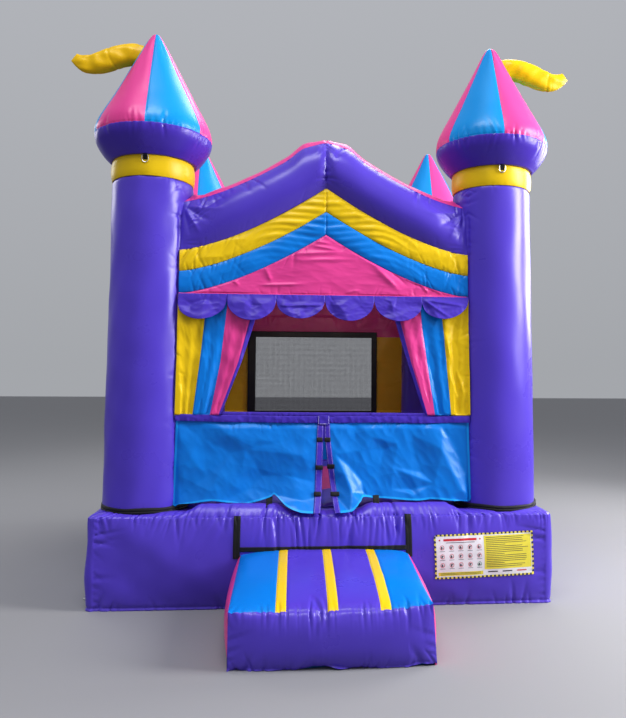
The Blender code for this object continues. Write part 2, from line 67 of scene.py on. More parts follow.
# Towers: distance of each axis from the middle, and the heights of their parts
TOWERS = {"front_left": (-1, -1), "front_right": (1, -1), "back_left": (-1, 1), "back_right": (1, 1)}
TOWER_OFFSET = 1.45
TOWER_RADIUS = 0.33
COLUMN_TOP = 3.398
COLLAR_TOP = 3.573
COLLAR_RADIUS = 0.335
BOWL_RADIUS = 0.462
GORES = 6

# Walls, windows and nets
SIDES = (("left", -1), ("right", 1))
WALL_OFFSET = 1.66
WALL_HALF = 1.19
SILL_LOW = 1.440
VALANCE_TOP = 2.468
WINDOW_HALF = 0.76
WINDOW_SILL = 1.36
WINDOW_TOP = 2.33
NET_PLANE = 1.635
BORDER_PLANE = 1.629

# Arches and gable: each curved line as its height at the towers and its rise to the peak
YELLOW_LINE = (2.826, 0.538)
BLUE_LINE = (2.650, 0.514)
PINK_LINE = (2.470, 0.503)
BACK_LINE = (2.80, 0.53)
GABLE_HALF = 1.2
BACK_SEAM = 2.58
BEAM_TOP = 3.236
BEAM_HALF = 1.186
ROOF_HALF = 1.335

# Vent flap and inflation sleeve at the back
VENT_X = -0.9
VENT_PLANE = 1.8343
VENT_LOW = 0.19
VENT_HINGE = 0.49
SLEEVE_RADIUS = 0.12

# Thickness of coated fabric, and the way the front faces
VINYL = 0.0014
FRONT = np.array((0, -1, 0))

# Where the entry sheets are looked at from: height, and distance from them
EYE_HEIGHT = 1.78
EYE_DISTANCE = 5.7

# Dust near the ground: its colour and how high it reaches
DUST = (0.33, 0.30, 0.29, 1.0)
DUST_TOP = 0.16


# Camera


def build_camera():
    yaw, pitch, roll = 0.0783, 0.0490, 0.0056
    forward = Vector((math.sin(yaw) * math.cos(pitch), math.cos(yaw) * math.cos(pitch), math.sin(pitch)))
    level = forward.cross(Vector((0, 0, 1))).normalized()
    lift = level.cross(forward)
    right = level * math.cos(roll) + lift * math.sin(roll)
    up = lift * math.cos(roll) - level * math.sin(roll)
    data = bpy.data.cameras.new("camera")
    data.lens = 35.023
    data.sensor_width = 36
    data.shift_x, data.shift_y = -0.0508, -0.0198
    camera = bpy.data.objects.new("camera", data)
    turn = Matrix((right, up, -forward)).transposed().to_4x4()
    camera.matrix_world = Matrix.Translation((-0.2496, -7.3842, 1.7828)) @ turn
    bpy.context.scene.collection.objects.link(camera)
    bpy.context.scene.camera = camera


# Numbers that shape cloth


def smooth(t):
    t = np.clip(t, 0.0, 1.0)
    return t * t * (3 - 2 * t)


def bell(x, width):
    """One at zero, falling off on both sides over about the width."""
    return np.exp(-((x / width) ** 2))


def bow(t, power=2.0):
    """One over the middle of 0 to 1, and zero at both ends."""
    return 1 - np.abs(2 * np.clip(t, 0, 1) - 1) ** power


def gable_line(x, line):
    return line[0] + line[1] * np.maximum(0.0, 1.0 - np.abs(x) / GABLE_HALF) ** 1.5


def arch_top(x):
    """Height of the arch's upper edge, rounded at its peak."""
    rounding = 0.12
    run = np.hypot(x, rounding) - rounding
    full = math.hypot(WALL_HALF, rounding) - rounding
    return BEAM_TOP + 0.515 * np.maximum(0.0, 1.0 - run / full) ** 1.45


def ripple(points, size, seed, waves=7, stretch=(1, 1, 1)):
    """A gentle unevenness of about that size, between about -1 and 1."""
    rng = np.random.default_rng(seed)
    way = rng.normal(size=(waves, 3))
    way /= np.linalg.norm(way, axis=1)[:, None]
    way *= (math.tau / (size * rng.uniform(0.7, 1.6, waves)))[:, None] * np.array(stretch)
    phase = rng.uniform(0, math.tau, waves)
    total = 0.0
    for k in range(waves):
        total = total + np.sin(points @ way[k] + phase[k])
    return total / waves**0.5


def crumple(points, size, seed, stretch=(1, 1, 1)):
    """Sharp-edged creases between soft hollows, from 0 to about 1."""
    coarse = 1 - np.abs(ripple(points, size, seed, 5, stretch))
    fine = 1 - np.abs(ripple(points, size * 0.43, seed + 1, 5, stretch))
    return 0.7 * coarse + 0.3 * fine


def puckers(along, away, length, seed, spacing=0.05, reach=0.08, depth=0.004, width=0.008, slant=0.3):
    """Short valleys that a taut seam draws into the cloth beside it."""
    rng = np.random.default_rng(seed)
    count = max(3, round(length / spacing))
    pitch = length / count
    index = np.arange(count)
    centre = (index + rng.uniform(-0.4, 0.4, count)) * pitch
    phase = rng.uniform(0, math.tau, 2)
    group = 0.6 + 0.28 * np.sin(index * 0.9 + phase[0]) + 0.2 * np.sin(index * 0.37 + phase[1])
    reaches = reach * group * rng.uniform(0.5, 1.5, count)
    depths = depth * group * rng.uniform(0.35, 1.5, count)
    widths = width * rng.uniform(0.7, 1.5, count)
    slants = slant * (rng.uniform(-1, 1, count) + 0.5 * np.sin(index * 0.21 + phase[1]))
    cell = np.floor(along / pitch).astype(int)
    total = np.zeros(np.broadcast(along, away).shape)
    for step in (-2, -1, 0, 1, 2):
        turn = cell + step
        i = turn % count
        middle = centre[i] + (turn // count) * length
        across = (along - middle - slants[i] * away) / (widths[i] * (1 + 5 * away))
        total -= depths[i] * np.exp(-across * across) * np.clip(1 - away / reaches[i], 0, 1) ** 1.3
    return total


def crease(u, v, start, end, depth, width, taper=0.25):
    """A sharp ridge along one line of a sheet, fading out at its ends."""
    du, dv = end[0] - start[0], end[1] - start[1]
    length = math.hypot(du, dv)
    t = ((u - start[0]) * du + (v - start[1]) * dv) / length**2
    off = ((v - start[1]) * du - (u - start[0]) * dv) / length
    fade = smooth(t / taper) * smooth((1 - t) / taper)
    return depth * fade * np.exp(1 - np.hypot(off / width, 1.0)) ** 1.2


def facets(x, z, points, lines=(), soften=2):
    """Height over flat facets between (x, z, height) points, creased along the lines and softly rounded."""
    flat = [Vector((p[0], p[1])) for p in points]
    corners, _, faces, origin, _, _ = delaunay_2d_cdt(flat, list(lines), [], 0, 1e-7)
    heights = np.array([points[o[0]][2] if o else 0.0 for o in origin])
    step = 0.005
    x0, z0 = float(np.min(x)) - 0.03, float(np.min(z)) - 0.03
    columns = int((float(np.max(x)) + 0.03 - x0) / step) + 2
    rows = int((float(np.max(z)) + 0.03 - z0) / step) + 2
    u, v = np.meshgrid(x0 + step * np.arange(columns), z0 + step * np.arange(rows))
    best, height = np.full(u.shape, -9.0), 0 * u
    for face in faces:
        (ax, az), (bx, bz), (cx, cz) = [corners[i] for i in face]
        area = (bx - ax) * (cz - az) - (cx - ax) * (bz - az)
        if abs(area) > 1e-9:
            b = ((u - ax) * (cz - az) - (cx - ax) * (v - az)) / area
            c = ((bx - ax) * (v - az) - (u - ax) * (bz - az)) / area
            inside = np.minimum(np.minimum(b, c), 1 - b - c)
            here = inside > best
            p, q, r = heights[list(face)]
            height[here] = (p * (1 - b - c) + q * b + r * c)[here]
            best[here] = inside[here]
    for _ in range(soften):
        for axis in (0, 1):
            height = (np.roll(height, 1, axis) + 2 * height + np.roll(height, -1, axis)) / 4
    gx = np.clip((x - x0) / step, 0, columns - 1.001)
    gz = np.clip((z - z0) / step, 0, rows - 1.001)
    i, j = gx.astype(int), gz.astype(int)
    fx, fz = gx - i, gz - j
    low = height[j, i] * (1 - fx) + height[j, i + 1] * fx
    high = height[j + 1, i] * (1 - fx) + height[j + 1, i + 1] * fx
    return low * (1 - fz) + high * fz


def spread(*stops):
    """Numbers that run through the stops, each stop after the first given as (value, count)."""
    out = [stops[0]]
    for value, count in stops[1:]:
        out += list(np.linspace(out[-1], value, count + 1)[1:])
    return np.array(out)


def through(points, count, closed=False):
    """A smooth line through the points."""
    p = np.array(points, float)
    if closed:
        p = np.vstack([p[-1], p, p[:2]])
    else:
        p = np.vstack([2 * p[0] - p[1], p, 2 * p[-1] - p[-2]])
    spans = len(p) - 3
    at = np.linspace(0, spans, count, endpoint=not closed)
    i = np.minimum(at.astype(int), spans - 1)
    t = (at - i)[:, None]
    a, b, c, d = p[i], p[i + 1], p[i + 2], p[i + 3]
    return 0.5 * (2 * b + (c - a) * t + (2 * a - 5 * b + 4 * c - d) * t**2 + (3 * b - a - 3 * c + d) * t**3)


def stack(x, y, z):
    x, y, z = np.broadcast_arrays(x, y, z)
    return np.stack([x, y, z], axis=-1).astype(float)


def middles(grid):
    """The value at the middle of each cell of a grid."""
    return (grid[:-1, :-1] + grid[1:, 1:]) / 2


# Meshes


class Skin:
    """Grids of points sewn into one mesh."""

    def __init__(self):
        self.points, self.faces, self.slots, self.count = [], [], [], 0

    def add(self, grid, slots=0, keep=None, flip=False):
        rows, columns = grid.shape[:2]
        index = self.count + np.arange(rows * columns).reshape(rows, columns)
        corners = [index[:-1, :-1], index[:-1, 1:], index[1:, 1:], index[1:, :-1]]
        faces = np.stack(corners[::-1] if flip else corners, axis=-1).reshape(-1, 4)
        slots = np.broadcast_to(slots, (rows - 1, columns - 1)).reshape(-1)
        if keep is not None:
            keep = np.broadcast_to(keep, (rows - 1, columns - 1)).reshape(-1)
            faces, slots = faces[keep], slots[keep]
        self.points.append(grid.reshape(-1, 3))
        self.faces.append(faces)
        self.slots.append(slots)
        self.count += rows * columns
        return self

    def join(self, other):
        """Takes in the grids of another skin."""
        self.points += other.points
        self.faces += [faces + self.count for faces in other.faces]
        self.slots += other.slots
        self.count += other.count

    def mesh(self, name, weld=2e-5, close=False, sharp=50):
        points = np.concatenate(self.points)
        faces = np.concatenate(self.faces)
        slots = np.concatenate(self.slots)
        _, first, index = np.unique(
            np.round(points / weld).astype(np.int64), axis=0, return_index=True, return_inverse=True
        )
        faces = index.reshape(-1)[faces]
        points = points[first]
        same = faces == np.roll(faces, -1, axis=1)
        whole = ~same.any(axis=1)
        halved = same.sum(axis=1) == 1
        kept = [list(map(int, f)) for f in faces[whole]]
        for f, s in zip(faces[halved], same[halved]):
            kept.append([int(v) for v, drop in zip(f, s) if not drop])
        used, inverse = np.unique(np.concatenate([np.array(f) for f in kept]), return_inverse=True)
        sizes = [len(f) for f in kept]
        flat = np.split(inverse, np.cumsum(sizes)[:-1])
        mesh = bpy.data.meshes.new(name)
        mesh.from_pydata(points[used].tolist(), [], [list(map(int, f)) for f in flat])
        kept_slots = np.concatenate([slots[whole], slots[halved]]).astype(np.int32)
        mesh.polygons.foreach_set("material_index", kept_slots)
        if close:
            bm = bmesh.new()
            bm.from_mesh(mesh)
            open_edges = [e for e in bm.edges if e.is_boundary]
            bmesh.ops.holes_fill(bm, edges=open_edges, sides=0)
            bmesh.ops.recalc_face_normals(bm, faces=bm.faces)
            bm.to_mesh(mesh)
            bm.free()
        mesh.shade_smooth()
        if sharp:
            mesh.set_sharp_from_angle(angle=math.radians(sharp))
        return mesh


def piece(name, mesh, materials, body="house", stands_for=(), slot=None, thick=None, offset=0.0):
    obj = bpy.data.objects.new(name, mesh)
    bpy.context.scene.collection.objects.link(obj)
    for material in materials if isinstance(materials, (list, tuple)) else [materials]:
        mesh.materials.append(material)
    if thick:
        solid = obj.modifiers.new("cloth thickness", "SOLIDIFY")
        solid.thickness = thick
        solid.offset = offset
    if body:
        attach(obj, body)
    if stands_for:
        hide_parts(*([stands_for] if isinstance(stands_for, str) else stands_for))
    return obj


def one_grid(name, grid, *about, slots=0, keep=None, flip=False, close=False, sharp=None, **more):
    """A piece made of one grid of points. What follows the grid goes to piece()."""
    mesh = Skin().add(grid, slots, keep, flip).mesh(name, close=close, sharp=sharp)
    return piece(name, mesh, *about, **more)


def tube(path, radius, sides=10, closed=False):
    """A round tube round a line of points, as a Skin."""
    p = np.array(path, float)
    if closed:
        ahead, behind = np.roll(p, -1, axis=0), np.roll(p, 1, axis=0)
    else:
        ahead, behind = np.vstack([p[1:], p[-1:]]), np.vstack([p[:1], p[:-1]])
    along = ahead - behind
    along /= np.maximum(np.linalg.norm(along, axis=1, keepdims=True), 1e-12)
    side = np.zeros_like(p)
    guess = np.array([0.0, 0.0, 1.0]) if abs(along[0, 2]) < 0.9 else np.array([1.0, 0.0, 0.0])
    last = np.cross(along[0], guess)
    for i in range(len(p)):
        last = last - along[i] * (last @ along[i])
        last /= max(np.linalg.norm(last), 1e-12)
        side[i] = last
    up = np.cross(along, side)
    turn = np.linspace(0, math.tau, sides + 1)
    radius = np.broadcast_to(radius, len(p))[:, None, None]
    ring = side[:, None] * np.cos(turn)[None, :, None] + up[:, None] * np.sin(turn)[None, :, None]
    grid = p[:, None] + ring * radius
    if closed:
        grid = np.concatenate([grid, grid[:1]])
    return Skin().add(grid)


# Materials


def feed(tree, target, inputs):
    """Links sockets into a node's inputs, and sets plain values on them."""
    for key, value in inputs.items():
        if isinstance(value, bpy.types.NodeSocket):
            tree.links.new(value, target.inputs[key])
        else:
            target.inputs[key].default_value = value
    return target


def node(tree, kind, inputs, **settings):
    made = tree.nodes.new(kind)
    for key, value in settings.items():
        setattr(made, key, value)
    return feed(tree, made, inputs)


def blank(name):
    material = bpy.data.materials.new(name)
    material.use_nodes = True
    tree = material.node_tree
    coords = node(tree, "ShaderNodeTexCoord", {}).outputs["Object"]
    return material, tree, tree.nodes["Principled BSDF"], coords


def noise(tree, coords, scale, detail):
    inputs = {"Vector": coords, "Scale": scale, "Detail": detail}
    return node(tree, "ShaderNodeTexNoise", inputs).outputs["Fac"]


def math_node(tree, operation, first, second=None):
    inputs = {0: first} if second is None else {0: first, 1: second}
    return node(tree, "ShaderNodeMath", inputs, operation=operation).outputs[0]


def mixed(tree, share, first, second):
    inputs = {"Factor": share, "A": first, "B": second}
    return node(tree, "ShaderNodeMix", inputs, data_type="RGBA").outputs["Result"]


def shade(colour, factor):
    return (*[min(1.0, c * factor) for c in colour], 1.0)


def tinted(tree, coords, colour, size, low, high, detail=3.0):
    """The colour varied softly over the surface."""
    return mixed(tree, noise(tree, coords, 1 / size, detail), shade(colour, low), shade(colour, high))


def lattice(tree, coords, period):
    """A woven relief in all three directions, from -3 to 3."""
    scaled = node(tree, "ShaderNodeVectorMath", {0: coords, "Scale": math.tau / period}, operation="SCALE")
    sines = node(tree, "ShaderNodeVectorMath", {0: scaled.outputs[0]}, operation="SINE")
    total = node(tree, "ShaderNodeVectorMath", {0: sines.outputs[0], 1: (1, 1, 1)}, operation="DOT_PRODUCT")
    return total.outputs["Value"]


def bump(tree, height, distance, strength):
    inputs = {"Height": height, "Distance": distance, "Strength": strength}
    return node(tree, "ShaderNodeBump", inputs).outputs["Normal"]


def uneven(tree, coords, scale, low, high):
    """A value that wanders between low and high."""
    inputs = {
        "Value": noise(tree, coords, scale, 4.0),
        "From Min": 0.3,
        "From Max": 0.7,
        "To Min": low,
        "To Max": high,
    }
    return node(tree, "ShaderNodeMapRange", inputs).outputs[0]


def vinyl(name, colour, rough=0.32, dust=True, gloss_level=0.32):
    """PVC-coated fabric: a gloss that varies, a faint grain, and dust low down."""
    material, tree, shader, coords = blank(name)
    body = tinted(tree, coords, colour, 0.55, 0.93, 1.06)
    if dust:
        split = node(tree, "ShaderNodeSeparateXYZ", {"Vector": coords})
        low = node(
            tree, "ShaderNodeMapRange", {"Value": split.outputs["Z"], "From Min": DUST_TOP, "From Max": 0.0}
        )
        amount = math_node(tree, "MULTIPLY", low.outputs[0], noise(tree, coords, 21.0, 6.0))
        body = mixed(tree, math_node(tree, "MULTIPLY", amount, 0.06), body, DUST)
    looks = {
        "Base Color": body,
        "Roughness": uneven(tree, coords, 3.2, rough - 0.05, rough + 0.07),
        "Normal": bump(tree, noise(tree, coords, 60.0, 2.0), 0.0006, 0.12),
        "Specular IOR Level": gloss_level,
    }
    feed(tree, shader, looks)
    return material


def webbing(name, colour=(0.012, 0.012, 0.014), rough=0.62):
    """Woven tape with a ribbed face."""
    material, tree, shader, coords = blank(name)
    looks = {
        "Base Color": tinted(tree, coords, colour, 0.02, 0.65, 1.35, 5.0),
        "Roughness": rough,
        "Sheen Weight": 0.06,
        "Specular IOR Level": 0.3,
        "Normal": bump(tree, lattice(tree, coords, 0.0022), 0.0003, 0.3),
    }
    feed(tree, shader, looks)
    return material


def netting(name, across, period=0.006, share=0.14, colour=(0.014, 0.014, 0.016)):
    """Open black netting: knotted threads both ways with clear holes between them."""
    material, tree, shader, coords = blank(name)
    split = node(tree, "ShaderNodeSeparateXYZ", {"Vector": coords})
    threads = []
    for axis in (across, "Z"):
        part = math_node(tree, "FRACT", math_node(tree, "MULTIPLY", split.outputs[axis], 1 / period))
        threads.append(math_node(tree, "LESS_THAN", part, share))
    looks = {
        "Alpha": math_node(tree, "MAXIMUM", *threads),
        "Base Color": tinted(tree, coords, colour, 0.3, 0.8, 1.3),
        "Roughness": 0.8,
        "Specular IOR Level": 0.1,
        "Normal": bump(tree, lattice(tree, coords, period), 0.0006, 0.6),
    }
    feed(tree, shader, looks)
    return material


def hard(name, colour, rough, metal=0.0, grain=420.0, relief=0.15):
    """Moulded plastic, paint or wire with a fine grain."""
    material, tree, shader, coords = blank(name)
    looks = {
        "Base Color": tinted(tree, coords, colour, 0.05, 0.92, 1.07, 4.0),
        "Metallic": metal,
        "Roughness": uneven(tree, coords, 60.0, rough - 0.06, rough + 0.08),
        "Normal": bump(tree, noise(tree, coords, grain, 2.0), 0.0004, relief),
    }
    feed(tree, shader, looks)
    return material


PURPLE = vinyl("purple_vinyl", (0.094, 0.055, 0.50), 0.31, gloss_level=0.42)
DEEP_PURPLE = vinyl("purple_vinyl_bowl", (0.078, 0.041, 0.43), 0.30, dust=False)
TRIM_PURPLE = vinyl("purple_trim", (0.072, 0.040, 0.41), 0.37, dust=False, gloss_level=0.26)
YELLOW = vinyl("yellow_vinyl", (0.76, 0.52, 0.008), 0.36, dust=False)
BLUE = vinyl("blue_vinyl", (0.002, 0.20, 0.64), 0.33, dust=False)
PENNANT = vinyl("pennant_vinyl", (0.78, 0.49, 0.004), 0.34, dust=False)
SHEET_BLUE = vinyl("blue_entry_vinyl", (0.002, 0.19, 0.62), 0.36, dust=False, gloss_level=0.34)
# The domes' blue is the blue vinyl made lighter and greener: painted light, the strong light on the dome tops
# and its glow through the cloth.
DOME_BLUE_PAINTED_LIGHT = vinyl("blue_dome_vinyl_painted_light", (0.002, 0.27, 0.66), 0.33, dust=False)
PINK = vinyl("pink_vinyl", (0.70, 0.066, 0.29), 0.35, dust=False)
BLACK_VINYL = vinyl("black_vinyl", (0.010, 0.010, 0.012), 0.38, dust=False)
HEM_BLUE = vinyl("blue_hem", (0.012, 0.33, 0.78), 0.33, dust=False)
TAPE = webbing("black_webbing")
THREAD = webbing("white_thread", (0.62, 0.60, 0.70), 0.6)
NET_ACROSS = netting("netting_front_back", "X")
NET_ALONG = netting("netting_sides", "Y")
LABEL_WHITE = hard("label_white", (0.70, 0.70, 0.74), 0.42)
LABEL_YELLOW = hard("label_yellow", (0.70, 0.62, 0.07), 0.42)
LABEL_DARK = hard("label_dark", (0.05, 0.045, 0.06), 0.45)
LABEL_RED = hard("label_red", (0.55, 0.03, 0.05), 0.42)
LABEL_GREEN = hard("label_green", (0.04, 0.28, 0.13), 0.42)
STEEL = hard("steel_wire", (0.66, 0.66, 0.68), 0.27, 1.0)
FAN_BLUE = hard("fan_plastic", (0.012, 0.075, 0.33), 0.40, grain=700.0, relief=0.3)
BLACK_PLASTIC = hard("black_plastic", (0.018, 0.018, 0.02), 0.45, grain=700.0, relief=0.3)
GREY_PAINT = hard("grey_paint", (0.21, 0.21, 0.22), 0.40, 0.3)


# Mattress


def ring_path(u, half, corner=BASE_CORNER):
    """Point and outward direction on a rounded square. u runs from 0 to 4, a side and a corner each."""
    turn = np.floor(u).astype(int) % 4
    t = u - np.floor(u)
    flat = 0.95
    reach = half - corner
    bend = np.clip((t - flat) / (1 - flat), 0, 1) * (math.pi / 2)
    x = -reach + 2 * reach * np.clip(t / flat, 0, 1) + corner * np.sin(bend)
    y = -reach - corner * np.cos(bend)
    nx, ny = np.sin(bend), -np.cos(bend)
    c, s = np.cos(turn * math.pi / 2), np.sin(turn * math.pi / 2)
    return np.stack([x * c - y * s, x * s + y * c], -1), np.stack([nx * c - ny * s, nx * s + ny * c], -1)


def base_columns(counts):
    """u for every column, spaced evenly along each side and closer at the corners."""
    corner = np.linspace(0.95, 1, 14, endpoint=False)
    sides = [
        k + np.concatenate([np.linspace(0, 0.95, n, endpoint=False), corner]) for k, n in enumerate(counts)
    ]
    return np.append(np.concatenate(sides), 4.0)


def corner_distance(u):
    t = u - np.floor(u)
    return np.minimum(np.clip(t, 0, 0.95), np.clip(0.95 - t, 0, 0.95)) / 0.95 * BASE_FLAT


SIDE_LENGTH = 3.62


def seam_relief(u, away):
    """Puckers beside the mattress's top seam."""
    along = u * SIDE_LENGTH
    total = puckers(along, away, 4 * SIDE_LENGTH, 11, 0.044, 0.21, 0.0150, 0.0078, 0.28)
    total += puckers(along, away, 4 * SIDE_LENGTH, 12, 0.031, 0.08, 0.0060, 0.0062, 0.2)
    return total + puckers(along, away, 4 * SIDE_LENGTH, 13, 0.15, 0.36, 0.0160, 0.011, 0.45)


def base_side(u, z, lift=0.0):
    """The mattress's upright face."""
    path, out = ring_path(u, BASE_HALF)
    gap = corner_distance(u)
    swell = 0.014 + 0.058 * (1 - np.exp(-((gap / 0.45) ** 1.5)))
    profile = np.clip(1 - np.abs((z - 0.37) / 0.375) ** 2.1, 0, 1)
    off = swell * profile
    relief = seam_relief(u, np.clip(BASE_SEAM - z, 0, 1))
    along = u * SIDE_LENGTH
    relief += puckers(along, np.clip(z - 0.02, 0, 1), 4 * SIDE_LENGTH, 17, 0.065, 0.17, 0.012, 0.011, 0.5)
    edge = puckers(z + 0 * u, gap, 0.72, 19, 0.048, 0.24, 0.014, 0.0095, 0.7)
    relief += edge * smooth(gap / 0.015)
    x = (u - 0.475) / 0.95 * BASE_FLAT
    middle = smooth((0.66 - np.abs(x)) / 0.05) * (u < 1)
    strip = puckers(x + 2, np.clip(BASE_SEAM - z, 0, 1) * 0.35, 4.0, 23, 0.040, 0.24, 0.012, 0.0080, 0.5)
    relief += middle * strip * smooth((z - 0.38) / 0.05)
    hem = 0.006 * bell(z - 0.006, 0.008) - 0.005 * bell(z - 0.024, 0.009)
    seam = -0.0015 * bell(BASE_SEAM - z, 0.006)
    body = stack(path[..., 0], path[..., 1], z)
    soft = 0.0035 * ripple(body, 0.42, 29) + 0.0016 * ripple(body, 0.16, 31)
    total = off + relief + hem + seam + soft * smooth(z / 0.08) + lift
    return body + np.stack([out[..., 0], out[..., 1], 0 * z], -1) * total[..., None]


def crest_share(x):
    """How much of the roll along the mattress's edge is left: it is trodden down at the entrance."""
    return 1 - 0.85 * smooth((0.42 - np.abs(x)) / 0.16)


def base_top(u, inset):
    """The mattress's upper face, from the seam inwards."""
    line = through(
        [
            (0.0, 0.700), (0.012, 0.712), (0.035, 0.724), (0.07, 0.732), (0.11, 0.733), (0.15, 0.730),
            (0.20, 0.724), (0.25, 0.720), (0.32, 0.716),
        ],
        120,
    )
    crest = through(
        [
            (0.0, 0.0), (0.015, 0.010), (0.04, 0.034), (0.075, 0.055), (0.11, 0.060), (0.14, 0.048),
            (0.165, 0.022), (0.185, 0.004), (0.32, 0.0),
        ],
        120,
    )
    x = (u - 0.475) / 0.95 * BASE_FLAT
    between = smooth((corner_distance(u) - 0.60) / 0.16) * np.where(u < 1, crest_share(x), 1.0)
    z = np.interp(inset, line[:, 0], line[:, 1]) + between * np.interp(inset, crest[:, 0], crest[:, 1])
    path, out = ring_path(u, BASE_HALF - inset)
    relief = seam_relief(u, inset * 1.15) - 0.0015 * bell(inset, 0.006)
    body = stack(path[..., 0], path[..., 1], z)
    soft = 0.0035 * ripple(body * [1, 1, 0] + [0, 0, BASE_SEAM], 0.42, 29)
    soft += 0.0016 * ripple(body * [1, 1, 0] + [0, 0, BASE_SEAM], 0.16, 31)
    lean = smooth(inset / 0.03)
    push = (relief + soft * (1 - lean))[..., None]
    tilt = np.stack([out[..., 0] * (1 - lean), out[..., 1] * (1 - lean), lean + 0 * u], -1)
    return body + tilt * push


def build_base():
    u = base_columns((430, 230, 230, 230))
    low = spread(0.0, (0.03, 5), (0.09, 5), (0.46, 24), (0.60, 11), (BASE_SEAM, 11))
    insets = np.array(
        [
            0.0, 0.006, 0.013, 0.022, 0.032, 0.044, 0.058, 0.074, 0.092, 0.11, 0.128, 0.146, 0.165, 0.20,
            0.25, 0.32,
        ]
    )
    skin = Skin()
    skin.add(base_side(*np.broadcast_arrays(u[None, :], low[:, None])))
    skin.add(base_top(*np.broadcast_arrays(u[None, :], insets[:, None])))
    mesh = skin.mesh("base_mattress", close=True, sharp=60)
    piece("base_mattress_skin", mesh, PURPLE, stands_for="base_mattress", slot="purple_vinyl")


def front_u(x):
    """u on the mattress's front for a place across it."""
    return 0.95 * (np.asarray(x, float) / BASE_FLAT + 0.5)


def tape_on_front(name, xs, zs, lift=0.004, rib=0.0016):
    """Black hook tape that lies on the mattress's front face."""
    x, z = np.meshgrid(xs, zs)
    grid = base_side(front_u(x), np.minimum(z, BASE_SEAM), lift)
    across = (xs - xs[0]) / (xs[-1] - xs[0])
    down = (zs - zs[0]) / (zs[-1] - zs[0])
    narrow = across[None, :] if xs[-1] - xs[0] < zs[-1] - zs[0] else down[:, None]
    grid[..., 1] -= rib * (bow(narrow, 8) - 0.9 * bell(narrow - 0.5, 0.07))
    over = np.maximum(z - BASE_SEAM, 0)
    grid[..., 1] += over * 0.75
    grid[..., 2] += over * 0.8
    one_grid(name, grid, TAPE, slot="black_webbing", thick=0.002, sharp=50)


def build_front_tapes():
    tape_on_front("hook_tape_left", spread(-0.708, (-0.655, 12)), spread(0.40, (0.716, 70)))
    tape_on_front("hook_tape_right", spread(0.632, (0.682, 12)), spread(0.40, (0.720, 70)))
    tape_on_front("hook_tape_across", spread(-0.654, (0.636, 190)), spread(0.452, (0.486, 10)), 0.005)
    at = base_side(front_u(0.25), np.array(0.458), 0.016)
    turn = np.linspace(0, math.tau, 25)[:-1]
    ring = [(at[0] + 0.011 * math.cos(a), at[1], at[2] - 0.012 + 0.011 * math.sin(a)) for a in turn]
    wire = tube(ring, 0.0022, 8, closed=True)
    piece("tape_zip_pull", wire.mesh("tape_zip_pull"), STEEL, slot="steel_wire")


def build_floor():
    """The mat between the walls, sewn into channels that run front to back, with a plain border."""
    wide, notch = 1.52, 1.11
    x = spread(-wide, (-notch, 20), (notch, 150), (wide, 20))
    y = spread(-wide, (-notch, 14), (-0.70, 20), (0.95, 40), (notch, 6), (wide, 14))
    gx, gy = np.meshgrid(x, y)
    channel = np.abs(np.sin(gx / 0.30 * math.pi))
    z = FLOOR_LEVEL + 0.026 * channel**0.55
    z = z + 0.002 * ripple(stack(gx, gy, 0 * gx), 0.35, 41)
    z = z - 0.004 * bell(gy + 0.70, 0.012)
    edge = np.minimum(wide - np.abs(gx), wide - np.abs(gy))
    z = 0.7215 + (z - 0.7215) * smooth(edge / 0.07 + 0.15)
    middle_x, middle_y = np.abs(middles(gx)), middles(gy)
    keep = ~((middle_x > notch) & (np.abs(middle_y) > notch))
    slots = np.where((middle_x < notch) & (middle_y > -0.70) & (middle_y < 0.95), 0, 1)
    mat = one_grid(
        "bounce_floor_mat", stack(gx, gy, z), [PINK, PURPLE], stands_for="bounce_floor", slot="pink_vinyl",
        thick=0.002, offset=-1, slots=slots, keep=keep, sharp=50,
    )


# Ramp


def ramp_bulge(a, b, power=3.0):
    """Swelling of a panel over its two directions, each from 0 to 1."""
    return (bow(a, power) * bow(b, power)) ** 0.6


